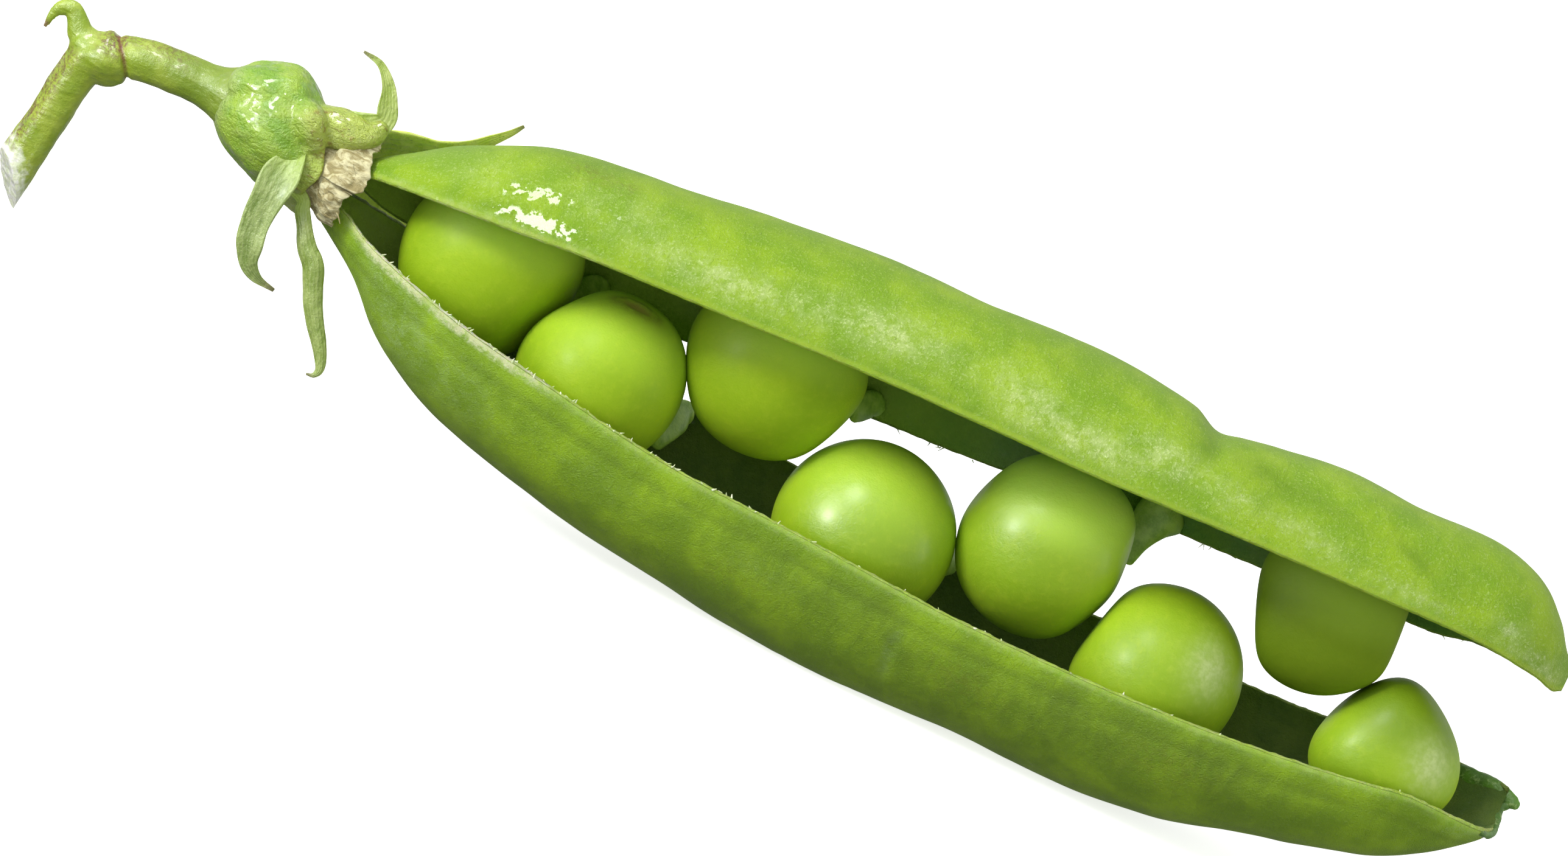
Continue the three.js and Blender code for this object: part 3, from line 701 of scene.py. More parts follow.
def add_valve(name, stations, side, skin, swellings, dents, channel, tear, **patches):
    """A valve, above the peas for side 1 and below them for -1.

    Swellings are (x, half length, height, how far round). Dents are lines as the camera sees
    them: across and rise of both ends, half width and depth. The channel beside the front rim is
    (from x, to x, distance from the rim, half width, depth). Tear is how ragged the front rim and
    the back one are. The patches are what spot() takes, for each mark."""
    grid, facts, lip = valve_grid(stations, side)
    flat = grid.reshape(-1, 3)
    x, kind, around = facts["x"], facts["kind"], facts["around"]
    normal = side * grid_normals(grid)
    outside = kind == OUTSIDE
    fade = step(0, 0.5, facts["half"] - 0.9)
    slow, fine = ripple(flat, 0.22, 3.1), ripple(flat, 0.9, 8.7, (0.6, 1, 1))
    cover = outside * np.sin(np.pi * around) ** 1.5
    push = cover * (0.1 * slow + 0.03 * fine) * fade
    push += (kind == INSIDE) * (0.05 * slow + 0.03 * fine) * fade
    for at, reach, height, where in swellings:
        push += outside * height * bell(x - at, reach) * bell(around - where, 0.2)
    across, rise = level(flat)
    facing = outside * np.clip(normal @ BACK * 1.6, 0, 1)
    for a0, b0, a1, b1, width, depth in dents:
        length = math.hypot(a1 - a0, b1 - b0)
        ua, ub = (a1 - a0) / length, (b1 - b0) / length
        t = ((across - a0) * ua + (rise - b0) * ub) / length
        off = (rise - b0) * ua - (across - a0) * ub
        push -= facing * step(-0.15, 0.15, t) * step(1.15, 0.85, t) * depth * bell(off, width)
    x0, x1, distance, width, depth = channel
    off = facts["from_front"] - distance - 0.12 * ripple(flat, 0.35, 5.5)
    ends = step(x0 - 3, x0 + 3, x) * step(x1 + 3, x1 - 3, x)
    push -= outside * ends * depth * bell(off, width)
    ragged = ripple(flat, 1.7, 12.3) * 0.6 + ripple(flat, 4.1, 2.9) * 0.4
    ragged *= ((kind == FRONT_RIM) * tear[0] + (kind == BACK_RIM) * tear[1]) * fade
    verts = flat + normal * push[:, None] + lip * ragged[:, None]
    verts[:, 2] = np.maximum(verts[:, 2], 0)
    marks = {
        "kind": kind,
        "from_front": facts["from_front"],
        "from_back": facts["from_back"],
        "around": around,
        "torn": 0.12 + 0.88 * step(-18.5, -22.5, x) * step(-34, -31.5, x),
        # where the lining gets painted light, towards the stalk end
        "root": step(6, -10, x) if side > 0 else 0.9 * step(-24, -32, x),
    }
    for key, spots in patches.items():
        marks[key] = facing * np.clip(spot(across, rise, spots), 0, 1.5)
    faces = [face[::-side] for face in valve_faces()]
    build(name, verts, faces, skin, "pod_wall", [name], marks, split=60)


# ---------------------------------------------------------------- materials
# The colour low is painted shade, laid on the valves' skins.
def valve_skin(name, lit, deep, low, edge, bloom, inner, inner_low, frayed, gloss, speckle,
               channel=None):
    """Skin of a valve: speckled, veined, paler at the seams, with wax and painted sheen in its
    pale patches, painted shade towards the back rim, in the channel and in its shade patches; the
    lining is darker, with painted light towards the stalk end.
    """
    s = Skin(name)
    kind, from_front, bloom_and_sheen_mask = s.mark("kind"), s.mark("from_front"), s.mark("bloom")
    cloud = s.noise(0.35, 3, 0.55)
    speck = s.noise(6.5, 4, 0.75)
    grain = s.noise(13, 2, 0.7)
    veins = s.noise(1.1, stretch=(1, 0.45, 0.45), warp=0.6)
    s.mottle(cloud, deep, lit, 0.35, 0.68)
    # painted shade: darker round towards the back rim, turned away from the lights
    s.paint(s.mark("around").ramp(0.2, 0.62), s.mix(0.7, s.colour, low))
    s.paint(veins.ramp(0.5, 0.75) * 0.35, deep)
    dots = speck.ramp(0.5, 0.68) * grain.ramp(0.35, 0.62)
    s.paint(dots * speckle, s.mix(0.5, lit, bloom))
    s.paint(speck.ramp(0.5, 0.34, 0, 0.35 * speckle), deep)
    # painted sheen: a pale haze over the pale patches, partly real wax
    haze = bloom_and_sheen_mask * cloud.ramp(0.2, 0.7, 0.4, 0.9) + dots * (bloom_and_sheen_mask * 1.4)
    s.paint(haze * s.noise(1.3, 4, 0.7).ramp(0.38, 0.6, 0.2, 1), bloom)
    # painted shade: the shade patches darken creases, the top edge and the far half of the lower
    # valve
    s.paint(s.mark("shade") * veins.ramp(0.3, 0.7, 0.6, 1), low)
    s.paint(s.mark("rust") * s.noise(2.2, 4, 0.7).ramp(0.4, 0.62), (120, 118, 30))
    # painted shade in the groove beside the front rim
    if channel:
        distance, width = channel
        line = s.calc("ABSOLUTE", from_front - distance).ramp(width, 0)
        line = line * s.noise(0.5, 2, 0.5).ramp(0.3, 0.6, 0.35, 1)
        s.paint(line * 0.35, low)
    # the two rims and the frayed band beside the front one
    lip = from_front.ramp(0.34, 0.1)
    torn = s.mark("torn") * frayed
    torn = torn * s.noise(1.5).ramp(0.35, 0.55, 0.3, 1)
    front_edge = s.mix(torn, s.mix(0.5, lit, edge), (220, 228, 172))
    s.paint(lip * (torn * 0.35 + 0.6), front_edge)
    band = from_front.ramp(0.6, 0.3) * s.noise(3.6, 3, 0.7).ramp(0.38, 0.6, 0.25, 1)
    s.paint(torn * band, (218, 226, 176))
    back_edge = s.mix(0.75, edge, inner_low)
    s.paint(s.mark("from_back").ramp(0.5, 0.1) * 0.7, back_edge)
    # the lining, and then the cut faces of the rims
    lining = s.mix(s.noise(0.5).ramp(0.35, 0.65), inner, inner_low)
    strands = s.noise(2.6, stretch=(0.5, 1, 1))
    lining = s.mix(strands.ramp(0.5, 0.8, 0, 0.5), lining, inner_low)
    lining = s.mix(lip * 0.4, lining, front_edge)
    # painted light: the lining paler towards the stalk end, where it lies in shade
    lining = s.mix(s.mark("root") * 0.8, lining, (164, 196, 66))
    is_inner = s.calc("COMPARE", kind, INSIDE, 0.5)
    s.paint(is_inner, lining)
    on_rim = kind.ramp(INSIDE + 0.4, BACK_RIM - 0.1)
    fibre = s.noise(5, 3, 0.7, stretch=(0.35, 1, 1)).ramp(0.42, 0.62)
    s.paint(on_rim, s.mix(fibre, back_edge, s.mix(0.15, back_edge, edge)))
    fray = s.mix((fibre + 0.5) * torn, front_edge, (232, 238, 200))
    s.paint(kind.ramp(BACK_RIM + 0.4, FRONT_RIM - 0.1), fray)
    wet = s.mark("wet") + s.noise(2.6).ramp(0.3, 0.7, -0.5, 0.5)
    wet = wet.ramp(0.42, 0.6)
    rough = s.calc("MAXIMUM", speck.ramp(0.3, 0.7, 0.36, 0.5) - wet * 0.3, 0.07)
    s.set(Roughness=rough + is_inner * 0.05, Specular_IOR_Level=gloss)
    s.soak(from_front.ramp(0.6, 0.1, 0.12, 0.75))
    s.set(Coat_Weight=wet * 0.9, Coat_Roughness=0.08)
    s.emboss((grain, 0.035), (speck, 0.08), (veins, 0.11), (on_rim * fibre, 0.12))
    return s


def pea_skin(name, gloss, painted_top_shading, painted_shadow):
    s = Skin(name + "_skin")
    fine = s.noise(2.4)
    grain = s.noise(11, 2, 0.6)
    s.mottle(s.noise(0.16, 2, 0.5), (148, 184, 30), (164, 198, 36))
    s.paint(fine.ramp(0.45, 0.8, 0, 0.3), (190, 212, 50))
    s.paint(grain.ramp(0.52, 0.75, 0, 0.2), (130, 164, 14))
    # painted shadow: an olive tint on peas that lie under the upper valve
    s.paint(painted_shadow, (100, 124, 26))
    # painted light on the top of the pea; a negative amount paints shade there
    s.paint(s.mark("painted_top_shading") * abs(painted_top_shading), (208, 250, 92) if painted_top_shading > 0 else (104, 136, 14))
    # wax and painted sheen on patches of the skin
    s.paint(s.mark("bloom") * fine.ramp(0.3, 0.7, 0.3, 0.6), (222, 234, 178))
    s.paint(s.mark("scar_ring") * fine.ramp(0.3, 0.6, 0.5, 1), (112, 120, 30))
    s.paint(s.mark("scar") * 0.75, (150, 130, 62))
    polish = 0.12 * gloss
    s.set(Roughness=fine.ramp(0.3, 0.7, 0.5 - polish, 0.58 - polish))
    s.set(Specular_IOR_Level=0.05 + 0.28 * min(2 * gloss, 1))
    s.soak(0.6, (1, 1, 0.35), 2.5)
    s.set(Coat_Weight=0.3 * gloss, Coat_Roughness=0.24)
    s.emboss((grain, 0.014), (fine, 0.035))
    return s


def stalk_skin():
    s = Skin("stalk_skin")
    ribs = s.noise(2.4, 2, 0.5, stretch=(0.25, 1, 1))
    fleck = s.noise(4.5, 3, 0.75)
    s.mottle(s.noise(0.7), (142, 168, 32), (166, 186, 58))
    s.paint(ribs.ramp(0.5, 0.75, 0, 0.4), (134, 164, 44))
    # painted shade: the pod's stalk darker towards the calyx
    s.paint(s.mark("painted_shade_near_calyx") * 0.6, (106, 136, 20))
    s.paint(s.mark("freckle") * fleck.ramp(0.38, 0.66), (104, 58, 36))
    s.paint(s.mark("ring"), (116, 56, 36))
    s.paint(s.mark("tip"), (132, 108, 72))
    pith = s.mix(s.noise(3).ramp(0.4, 0.65), (234, 242, 208), (252, 254, 244))
    torn = s.mark("cut") + s.noise(1.6).ramp(0.3, 0.7, -0.2, 0.2)
    s.paint(torn.ramp(0.15, 0.75), pith)
    s.set(Roughness=fleck.ramp(0.3, 0.7, 0.36, 0.5))
    s.soak(0.2, (0.8, 1, 0.4))
    s.set(Coat_Weight=s.noise(1.8, 2, 0.5).ramp(0.5, 0.6, 0.06, 0.7), Coat_Roughness=0.1)
    s.emboss((ribs, 0.08), (fleck, 0.05))
    return s


def calyx_skin():
    s = Skin("calyx_skin")
    ribs = s.noise(1.5, stretch=(0.35, 1, 1), warp=0.4)
    grain = s.noise(6, 3, 0.65)
    strand = s.noise(2.4, 4, 0.7, stretch=(0.4, 1, 1), warp=0.8)
    mouth = s.mark("mouth")
    s.mottle(s.noise(0.6), (124, 170, 26), (156, 190, 50), 0.38, 0.62)
    s.paint(ribs.ramp(0.5, 0.72, 0, 0.5), (170, 194, 84))
    s.paint(s.mark("collar") * 0.6, (176, 190, 120))
    s.paint(mouth, (180, 198, 80))
    s.paint(mouth * strand.ramp(0.53, 0.66, 0, 0.7), (140, 108, 36))
    s.set(Roughness=grain.ramp(0.35, 0.65, 0.34, 0.48))
    s.soak(0.2, (0.8, 1, 0.3))
    s.set(Coat_Weight=s.noise(2).ramp(0.5, 0.6, 0.12, 1), Coat_Roughness=0.05)
    s.emboss((ribs, 0.16), (strand * mouth, 0.3), (grain, 0.13))
    return s


def sepal_skin():
    s = Skin("sepal_skin")
    lines = s.calc("SINE", s.mark("across") * 17 + s.noise(0.9, 2, 0.5) * 9)
    streak = s.noise(1.4, 4, 0.65, stretch=(1, 1, 0.4))
    fleck = s.noise(5, 3, 0.7)
    length = s.mark("length")
    lit_green = s.mix(streak.ramp(0.35, 0.65), (206, 230, 76), (226, 240, 120))
    s.mottle(streak, (118, 144, 56), (162, 182, 104))
    # young green, made pale: painted light on the sepals that lie in shade
    s.paint(s.mark("green_and_light") * 0.95, lit_green)
    s.paint(lines.ramp(0.2, 1, 0, 0.15), (196, 208, 146))
    s.paint(length.ramp(0.35, 0), (164, 192, 78))
    s.paint(fleck.ramp(0.55, 0.75, 0, 0.45), (92, 112, 60))
    s.paint(length.ramp(0.86, 1, 0, 0.8), (126, 116, 78))
    s.set(Roughness=fleck.ramp(0.3, 0.7, 0.4, 0.6))
    s.soak(0.15, (0.5, 0.7, 0.2), 0.8)
    s.set(Coat_Weight=0.15, Coat_Roughness=0.2)
    s.emboss((lines, 0.007), (streak, 0.14), (fleck, 0.05))
    return s


def petal_skin():
    s = Skin("dried_petal")
    fibre = s.noise(2.6, 4, 0.7, stretch=(0.3, 1, 1), warp=0.5)
    blotch = s.noise(1.1, 4, 0.65)
    s.mottle(fibre, (156, 144, 92), (220, 214, 168), 0.4, 0.62)
    s.paint(blotch.ramp(0.5, 0.72, 0, 0.6), (176, 162, 108))
    s.paint(s.mark("root"), (170, 156, 62))
    s.paint(s.mark("root") * fibre.ramp(0.5, 0.7), (118, 84, 36))
    s.set(Roughness=0.8)
    s.soak(0.1, (0.6, 0.5, 0.3), 0.6)
    s.emboss((fibre, 0.16), (blotch, 0.12))
    return s


def funicle_skin():
    s = Skin("funicle_skin")
    cloud = s.noise(1.2)
    grain = s.noise(7)
    s.mottle(cloud, (136, 176, 52), (172, 206, 84))
    s.paint(grain.ramp(0.5, 0.75, 0, 0.4), (196, 220, 130))
    s.set(Roughness=grain.ramp(0.3, 0.7, 0.35, 0.5))
    s.soak(0.25)
    s.emboss((grain, 0.02), (cloud, 0.05))
    return s


def torn_end_skin():
    s = Skin("torn_end_skin")
    torn = s.noise(2.6, 4, 0.7)
    s.mottle(s.noise(0.9), (70, 108, 30), (92, 138, 40))
    s.paint(torn.ramp(0.5, 0.68, 0, 0.8), (160, 186, 112))
    s.set(Roughness=torn.ramp(0.3, 0.7, 0.3, 0.5))
    s.soak(0.15)
    s.emboss((torn, 0.08))
    return s


def fibre_skin():
    s = Skin("seam_fibre")
    tint = s.noise(3, 2, 0.5)
    s.mottle(tint, (196, 214, 140), (236, 240, 208))
    s.set(Base_Color=s.colour, Roughness=0.6)
    s.emboss((tint, 0.02))
    return s


# ---------------------------------------------------------------- pieces
def add_valves():
    upper = valve_skin(
        "upper_skin", lit=(154, 190, 16), deep=(126, 168, 8), low=(108, 144, 10),
        edge=(182, 204, 60), bloom=(208, 226, 152), inner=(96, 142, 54), inner_low=(110, 150, 52),
        frayed=0.15, gloss=0.24, speckle=0.7)
    add_valve(
        "upper_valve", UPPER_STATIONS, 1, upper,
        swellings=[
            (-26, 4.5, 0.1, 0.45), (-10, 4.5, 0.1, 0.45), (7, 4.5, 0.1, 0.45), (22, 4, 0.12, 0.45),
            (-18, 3, -0.08, 0.5), (-1.5, 3.5, -0.08, 0.5),
        ],
        dents=[
            (20.7, 10, 26.5, 8.5, 0.4, 0.12), (25.5, 9.7, 33.5, 8.5, 0.35, 0.1),
            (31.5, 9.4, 35, 8, 0.4, 0.12), (20.9, 10.1, 21.8, 8, 0.5, 0.1),
        ],
        channel=(-20, 24, 0.95, 0.3, 0.05),
        tear=(0.03, 0.05),
        # pale patches, partly wax and partly painted sheen
        bloom=[
            (-6, 5.7, 4.2, 0.8, 4, 0.7), (2.6, 7, 3.6, 1, 4, 0.8), (11.3, 6.8, 2.4, 1.2, -12, 0.6),
            (15.3, 6.4, 2.2, 0.8, 0, 0.7), (19, 7.5, 2, 0.8, 0, 0.7),
            (22.9, 7.1, 1.1, 0.6, 0, 0.6), (27.5, 7, 2.6, 0.6, -6, 0.4),
            (-20.5, 5.2, 2.2, 0.9, 10, 0.25), (39.3, 7.1, 1, 0.8, 0, 0.5),
            (41.5, 6, 1.4, 0.8, 0, 0.8), (-13, 6.4, 3, 1.2, 8, 0.3), (33.5, 6.6, 2, 0.5, 0, 0.35),
        ],
        # painted shade in creases, above the rim and along the top edge
        shade=[
            (-8, 9, 6, 0.7, 4, 0.35), (6, 5.1, 9, 0.35, 2, 0.5), (26, 8.9, 5, 0.5, -4, 0.45),
            (33, 8.6, 1.6, 0.45, -18, 0.6), (23.5, 9.6, 2, 0.4, -16, 0.5),
            (37.5, 9.6, 2.2, 0.6, -20, 0.3), (20.9, 9.2, 0.5, 1, -20, 0.5),
            (-18.5, 3.8, 4, 0.25, 6, 0.4), (24, 8, 3, 1.2, -10, 0.3), (35, 9, 2.5, 1, -20, 0.25),
            (12, 9.6, 3, 0.8, 0, 0.25), (-15, 8.2, 2.5, 0.8, 12, 0.3),
        ],
        wet=[
            (-16.6, 4.05, 1.7, 0.32, 6, 1.5), (-18.4, 5.3, 0.45, 0.18, 0, 1),
            (-17.2, 5.3, 0.3, 0.14, 0, 0.9), (-16.3, 5.55, 0.28, 0.2, 0, 1),
            (-17.3, 5.4, 1.5, 0.4, 14, 0.38), (35.5, 6.6, 1.2, 0.25, 2, 0.8),
            (39.2, 7.2, 0.5, 0.4, 0, 0.6),
        ],
        rust=[(-15.2, 7.7, 1.3, 0.5, 4, 0.5), (-13, 7.9, 0.8, 0.4, 4, 0.4)])
    lower = valve_skin(
        "lower_skin", lit=(158, 198, 20), deep=(128, 166, 18), low=(96, 124, 24),
        edge=(180, 202, 92), bloom=(168, 200, 116), inner=(84, 112, 36), inner_low=(100, 124, 40),
        frayed=0.9, gloss=0.25, speckle=0.35, channel=(1.35, 0.5))
    add_valve(
        "lower_valve", LOWER_STATIONS, -1, lower,
        swellings=[
            (-18, 4.5, 0.1, 0.4), (-2, 4.5, 0.14, 0.4), (15.5, 4.5, 0.14, 0.4),
            (28, 3.5, 0.12, 0.4), (-10, 3, -0.1, 0.42), (7, 3, -0.12, 0.42),
            (22.2, 2.6, -0.12, 0.42),
        ],
        dents=[(10.2, -6.6, 10.3, -9.8, 0.3, 0.08)],
        channel=(-14, 30, 1.45, 0.45, 0.06),
        tear=(0.09, 0.1),
        # pale patches, partly wax and partly painted sheen, most at the left
        bloom=[
            (-22.6, -2.4, 1.4, 1.6, 30, 0.6), (-20.5, -4.6, 1.6, 1.8, 30, 0.6),
            (-16.5, -5.6, 3, 1.6, -20, 0.35), (10.2, -8.2, 0.35, 1.3, 4, 0.7),
            (-8, -6.8, 3, 0.7, -8, 0.2), (2, -7.4, 2.5, 0.5, 0, 0.2),
            (41.5, -3.6, 1.5, 0.5, 20, 0.4),
        ],
        # painted shade, most over the right half of the valve
        shade=[
            (-6, -9.4, 9, 0.8, -6, 0.4), (12, -10.4, 12, 0.8, 0, 0.5),
            (9, -6.6, 1.2, 1.6, 8, 0.35), (19.5, -6.7, 1.2, 1.6, 0, 0.3),
            (29, -6.2, 2, 1.4, 20, 0.3), (23, -7.4, 13, 2.2, 8, 0.65), (5, -7.4, 8, 1.8, -4, 0.45),
        ],
        wet=[],
        rust=[(14, -8, 3, 1.2, 0, 0.25), (26, -7.2, 3, 1.2, 8, 0.25), (1, -8.4, 3, 1, 0, 0.2)])


def add_funicles():
    def strand(t, angle):
        swell = 1 + 0.08 * np.sin(3 * angle + 5 * t)
        return swell * np.cos(angle), 0.5 * swell * np.sin(angle)

    def add(name, points, steps, sides, facing, shape, bumps, skin):
        verts, faces = tube(points, steps, sides, facing, shape)
        push = sum(depth * ripple(verts, scale, seed) for depth, scale, seed in bumps)
        build(name, pushed(verts, faces, push), outward(verts, faces), skin, "pod_wall")

    skin = funicle_skin()
    for i, (name, points) in enumerate(FUNICLES.items()):
        add(name, points, 24, 24, (0.1, -1, 0.2), strand, [(0.03, 1.2, i % 4)], skin)
    skin = torn_end_skin()
    for name, points, flat in (("beak", BEAK, 0.42), ("end_lip", END_LIP, 0.85)):
        add(name, points, 36, 28, (0.35, -0.94, 0.1),
            lambda t, angle: (np.cos(angle), flat * np.sin(angle)),
            [(0.06, 1.3, 4.4), (0.03, 3.9, 1.4)], skin)


def add_peas():
    ball = bmesh.new()
    bmesh.ops.create_icosphere(ball, subdivisions=6, radius=1)
    way, faces = from_bmesh(ball)

    def facing(towards, width):
        """1 where the ball faces that way, falling away round it; the width is in radians."""
        return bell(np.arccos(np.clip(way @ unit(towards), -1, 1)), width)

    for number, (name, (at, radii, down, flats, dents, scar)) in enumerate(PEAS.items()):
        upright = np.where(way[:, 2] > 0, radii[2], down)
        across = np.hypot(way[:, 0] / radii[0], way[:, 1] / radii[1])
        power = PEA_EDGES.get(name, PEA_EDGE)
        inverse = np.hypot(across, way[:, 2] / upright) ** power
        for towards, distance in flats:
            inverse += (np.maximum(way @ unit(towards), 0) / distance) ** power
        reach = inverse ** (-1 / power) - 0.03 * ripple(way * 4.5, 0.3, number * 3.7)
        for towards, width, depth in dents:
            reach -= depth * facing(towards, width)
        # the scar: a shallow oval pit with a low ring round it
        side = unit(np.cross(unit(scar), [0, 1, 0.2]))
        over = np.cross(unit(scar), side)
        oval = np.hypot((way @ side) / SCAR_HALF[0], (way @ over) / SCAR_HALF[1])
        oval = np.where(way @ scar > 0, oval, 9)
        reach += 0.05 * bell(oval - 1.25, 0.4) - 0.07 * bell(oval, 0.8)
        marks = {
            "scar": np.exp(-(oval / 0.95) ** 4),
            "scar_ring": 0.6 * bell(oval - 1.3, 0.7),
            # where painted light and shade go: the top of the pea
            "painted_top_shading": step(0.1, 0.85, way[:, 2]),
            "bloom": facing(*PEA_BLOOM_AND_SHEEN[name]) if name in PEA_BLOOM_AND_SHEEN else 0 * oval,
        }
        build(name, at + way * reach[:, None], faces, pea_skin(name, *PEA_SKINS[name]), "pea",
              [name], marks)


def ribbed(ribs, depth):
    """The outline of a stalk with so many ribs of that depth."""
    def shape(t, angle):
        r = 1 + depth * np.cos(ribs * angle + 0.6) + 0.4 * depth * np.cos(2 * angle + 3 * t)
        return r * np.cos(angle), r * np.sin(angle)
    return shape


def cut(verts, faces, at, facing):
    """A closed mesh without what lies beyond a plane, and with a fine face over the cut."""
    mesh = to_bmesh(verts, faces)
    everything = mesh.verts[:] + mesh.edges[:] + mesh.faces[:]
    bmesh.ops.bisect_plane(mesh, geom=everything, dist=1e-5, plane_co=at, plane_no=facing,
                           clear_outer=True)
    rim = [e for e in mesh.edges if e.is_boundary]
    cap = bmesh.ops.triangle_fill(mesh, edges=rim, use_beauty=True)["geom"]
    cap_edges = [e for e in cap if isinstance(e, bmesh.types.BMEdge)]
    bmesh.ops.subdivide_edges(mesh, edges=cap_edges, cuts=3, use_grid_fill=True)
    bmesh.ops.triangulate(mesh, faces=[f for f in mesh.faces if len(f.verts) > 4])
    return from_bmesh(mesh)


def add_stem():
    verts, faces = fuse([
        tube(FLOWER_STALK, 40, 28, shape=ribbed(5, 0.035)),
        tube(STALK_JOINT, 24, 28, shape=ribbed(4, 0.04)),
        tube(POD_STALK, 40, 28, shape=ribbed(5, 0.03)),
        tube(BRACT, 36, 20, shape=lambda t, q: (1.15 * np.cos(q), (0.9 - 0.3 * t) * np.sin(q))),
    ])
    at, facing = np.array(STALK_CUT[0]), unit(STALK_CUT[1])
    verts, faces = cut(verts, faces, at, facing)
    off = (verts - at) @ facing
    push = 0.05 * ripple(verts, 0.8, 1.5) + 0.02 * ripple(verts, 2.6, 7.5)
    push = np.where(off > -0.02, 0.06 * ripple(verts, 2.2, 3.3), push)
    # a pinched ring where the pod's own stalk leaves the joint
    x, z = verts[:, 0], verts[:, 2]
    dx, dz = x - STALK_RING[0], z - STALK_RING[1]
    along_ring = dx * 0.59 - dz * 0.81
    from_ring = dx * 0.81 + dz * 0.59 - 0.22 * (1 - along_ring**2 / 1.3)
    high = z > 11
    push += high * (0.04 * bell(from_ring + 0.4, 0.3) - 0.13 * bell(from_ring, 0.15))
    middle = np.array(FLOWER_STALK[:5])
    left = step(0.2, -1, x - np.interp(z, middle[:, 2], middle[:, 0])) * step(12.9, 12, z)
    top = step(13.6, 14.7, z) * step(-50.2, -49, x) * step(-43.8, -45.2, x)
    shoulder = step(-50, -49, x) * step(12.6, 13.8, z) * step(-47.8, -48.4, x)
    marks = {
        "cut": 0.55 * step(-1.5, -0.2, off) + 0.6 * step(-0.3, -0.06, off),
        "painted_shade_near_calyx": step(-47.5, -43.5, x),
        "tip": step(-52.2, -52.45, x) * step(13.3, 12.9, z),
        "freckle": np.clip(0.95 * left + 0.6 * top + 1.1 * shoulder, 0, 1),
        "ring": high * bell(from_ring + 0.05, 0.09) * (0.35 + 0.6 * step(12, 13.6, z)),
    }
    build("stem", pushed(verts, faces, push), faces, stalk_skin(), "stalk", ["stem"], marks,
          split=50)


def add_calyx():
    outer, sides = 64, 96
    theta = 2 * math.pi * np.arange(sides) / sides
    rings = []
    for i, (x, y, z, r) in enumerate([*spline(RECEPTACLE, outer), *spline(CUP_HOLLOW, 26)]):
        t = min(i / (outer - 1), 1)
        r = r * (1 + 0.05 * t * np.cos(5 * theta + 0.9) + 0.03 * np.cos(3 * theta + 2 + 2 * t)
                 + 0.012 * np.cos(11 * theta + 5 * t))
        if 40 < i < 72:
            x += 0.3 * np.sin(5 * theta + 1) * math.sin(math.pi * (i - 40) / 32)
        rings.append(np.stack([x + 0 * r, y - r * np.cos(theta), z + r * np.sin(theta)], -1))
    verts, faces = fuse([capped(rings)] + [tube(points, 24, 24) for points in LOBES])
    out = np.hypot(verts[:, 1], verts[:, 2] - CALYX_AXIS) - CALYX_CORE
    push = 0.1 * ripple(verts, 0.6, 2.2) + 0.07 * ripple(verts, 1.4, 6.1, (0.6, 1, 1))
    push = (push + 0.02 * ripple(verts, 3.5, 1.1)) * step(0.2, 0.8, out)
    roots = spot(*level(verts), [(-29.5, 3.7, 0.9, 0.9, 0, 0.9), (-27.2, 3.9, 1.5, 0.6, 5, 0.9)])
    mouth = step(-37.6, -36.6, verts[:, 0]) * 0.8 + (verts[:, 1] < 0) * roots
    marks = {"mouth": np.clip(mouth, 0, 1), "collar": step(-41.4, -42.4, verts[:, 0])}
    build("calyx", pushed(verts, faces, push), faces, calyx_skin(), "calyx", ["calyx"], marks)


def add_sepals():
    skin = sepal_skin()
    steps, half = 72, 13
    q = np.linspace(-1, 1, half)
    sign = np.repeat([1, -1], half)
    q = np.concatenate([q, q[::-1]])
    for number, (name, (points, facing, cup, wave)) in enumerate(SEPALS.items()):
        def blade(t, angle):
            thick = 0.2 * (1 - 0.75 * q**2) * (1 + 1.2 * t**6)
            veins = 0.008 * np.cos(q * 9.4) * (1 - t)
            wavy = 1 + wave * np.sin(9 * t + number + (q > 0) * 2) * (0.5 + 0.5 * t)
            curl = cup * (q**2 - 0.3) + 0.07 * np.sin(7 * t + 2 * q + number)
            return q * wavy, curl + sign * (thick + veins * (1 - q**2))

        verts, faces = tube(points, steps, 2 * half, facing, blade, round_ends=False)
        faces = outward(verts, faces)
        marks = {
            "across": np.tile(q, steps),
            "length": np.repeat(np.linspace(0, 1, steps), 2 * half),
            "green_and_light": np.full(len(verts), GREEN_AND_LIGHT.get(name, 1)),
        }
        verts = pushed(verts, faces, 0.05 * ripple(verts, 0.9, number))
        build(name, verts, faces, skin, "calyx", marks=marks)


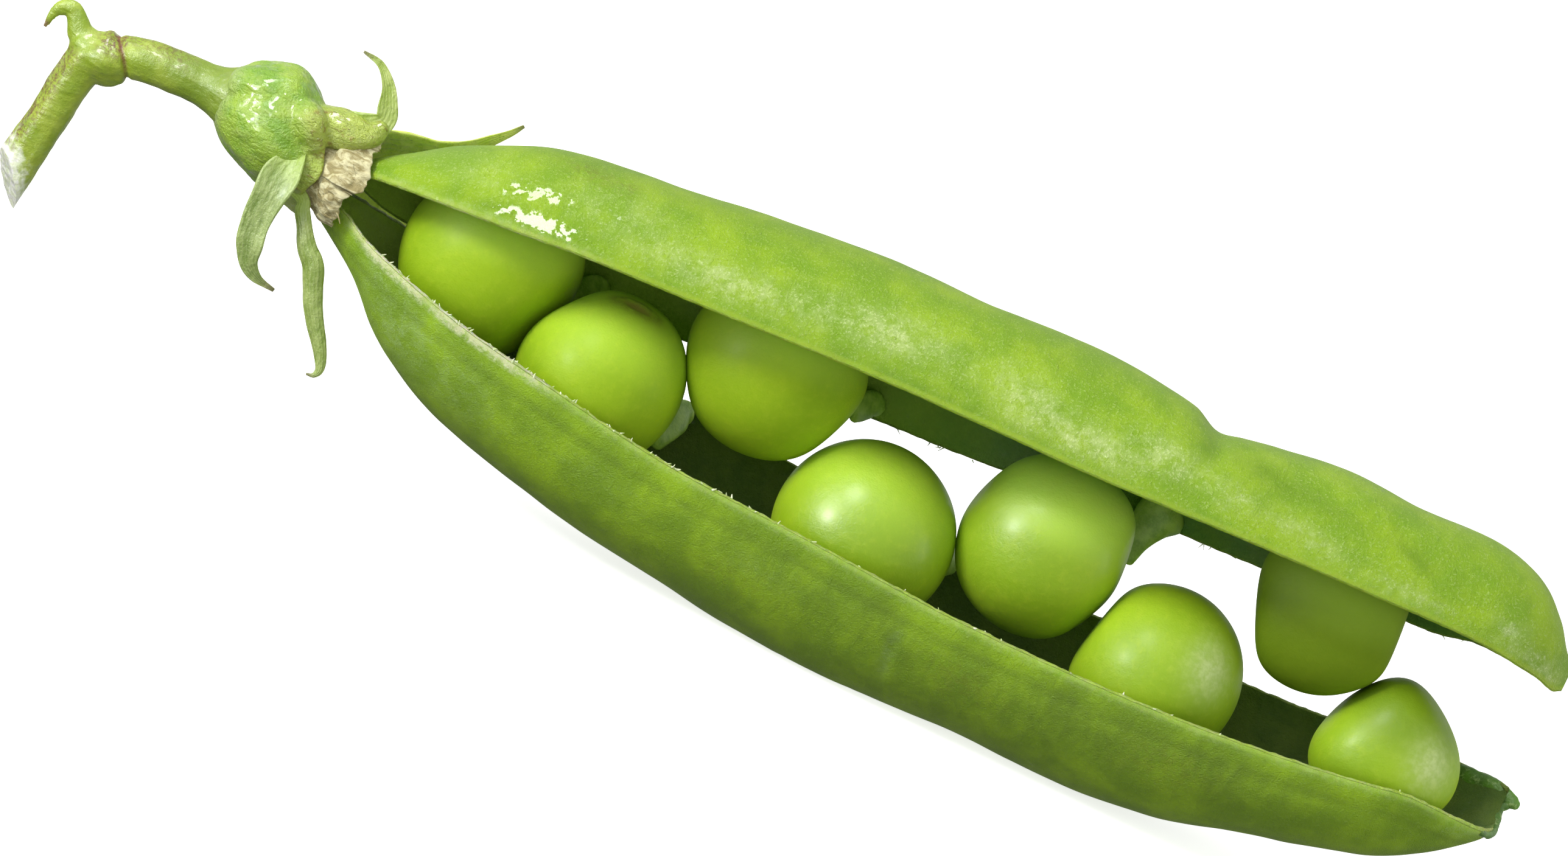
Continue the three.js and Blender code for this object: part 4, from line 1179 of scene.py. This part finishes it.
def add_petals():
    skin = petal_skin()
    for name, first, last, root, end, mouth, tear, seed in PETALS:
        wide, deep = int(70 * (last - first)) + 20, 44
        t, k = np.meshgrid(np.linspace(first, last, wide), np.linspace(0, 1, deep), indexing="ij")
        ragged = (0.55 * np.sin(3.4 * t + 1 + seed) + 0.4 * np.sin(7.3 * t + seed)
                  + 0.25 * np.sin(17 * t + 2 * seed) * np.sin(5 * t)
                  + 0.12 * np.sin(41 * t + seed) * np.sin(3 * t + 1))
        x = root + (end + tear * ragged * 0.8 - root) * k
        flare = step(-36.2, -34.7, x)
        frill = 0.12 * np.sin(5 * t + 2.2 * np.sin(3 * t) + seed + 1.5 * k)
        radius = PETAL_ROOT + (mouth - PETAL_ROOT + frill) * flare
        z = PETAL_AXIS - 0.1 * k + radius * np.sin(t)
        sheet = np.stack([x, -radius * np.cos(t), z], -1)
        flat, normal = sheet.reshape(-1, 3), -grid_normals(sheet, closed=False)
        t, k = t.reshape(-1), k.reshape(-1)
        fold = 0.2 * ripple(flat, 0.8, seed) + 0.14 * ripple(flat, 2, seed + 2)
        fold = (fold + 0.05 * ripple(flat, 4.5, seed + 4)) * step(0, 0.4, k)
        outer, inner = (flat + normal * (fold + thick)[:, None] for thick in (0.085, -0.085))
        verts = np.vstack([outer, inner])
        n = np.arange(wide * deep).reshape(wide, deep)
        top = np.stack([n[:-1, :-1], n[1:, :-1], n[1:, 1:], n[:-1, 1:]], -1).reshape(-1, 4)
        rim = np.concatenate([n[:, 0], n[-1, 1:], n[-2::-1, -1], n[0, -2:0:-1]])
        on = np.roll(rim, -1)
        sides = np.stack([rim, on, on + n.size, rim + n.size], -1)
        faces = outward(verts, np.vstack([top, top[:, ::-1] + n.size, sides]))
        marks = {"root": np.tile(step(0.45, 0.2, k) * step(0.6, 1.2, t), 2)}
        replaces = ["withered_petals"] if name == "withered_petals" else ()
        build(name, verts, faces, skin, "petals", replaces, marks)


def threads(lines):
    """One mesh of thin threads, each (points, radius at the root)."""
    parts = []
    for points, radius in lines:
        taper = np.linspace(1, 0.25, len(points)) * radius
        parts.append(tube(np.column_stack([points, taper]), 7, 6, (0.3, 0.2, 1)))
    return merged(parts)


def add_fibres():
    """Torn fibres along the seams, and whiskers on the dried petals."""
    random.seed(11)
    pick = random.uniform
    lines = []
    xs = [pick(a, b) for a, b, count in ((-31, -12, 60), (-12, 12, 16), (12, 30, 5))
          for _ in range(count)]
    for x in xs:
        y, z = section(LOWER_STATIONS, x)[:2]
        root = np.array([x, y + pick(0.05, 0.3), z + 0.08])
        long = pick(0.08, 0.22)
        way = unit([pick(-1, 1), pick(-0.5, 0.4), pick(0.2, 1)]) * long
        bend = np.array([pick(-1, 1), pick(-0.3, 0.3), 0]) * long * 0.3
        points = [root - way * 0.4, root + way * 0.5 + bend * 0.3, root + way + bend]
        lines.append((points, pick(0.04, 0.08)))
    for x in [pick(-22, 30) for _ in range(46)]:
        y, z = section(UPPER_STATIONS, x)[2:4]
        root = np.array([x, y - pick(0.1, 0.5), z - 0.05])
        way = unit([pick(-1, 1), pick(-0.5, 0.2), -random.random()]) * pick(0.12, 0.35)
        lines.append(([root - way * 0.4, root + way * 0.4, root + way], 0.04))
    build("seam_fibres", *threads(lines), fibre_skin(), "pod_wall")
    lines = []
    for _ in range(26):
        angle = pick(-0.75, 1.5)
        root = np.array([pick(-34.9, -34.2), -WHISKER_RING * math.cos(angle),
                         WHISKER_AXIS + WHISKER_RING * math.sin(angle)])
        way = unit([1, pick(-0.5, 0.2), pick(-0.9, 0.6)]) * pick(0.3, 0.9)
        bend = np.array([0, 0, pick(-0.25, 0.25)])
        points = [root - way * 0.3, root + way * 0.5, root + way + bend]
        lines.append((points, pick(0.05, 0.09)))
    verts, faces = threads(lines)
    build("petal_whiskers", verts, faces, petal_skin(), "petals",
          marks={"root": np.zeros(len(verts))})


add_camera()
add_stage()
add_valves()
add_funicles()
add_peas()
add_stem()
add_calyx()
add_sepals()
add_petals()
add_fibres()
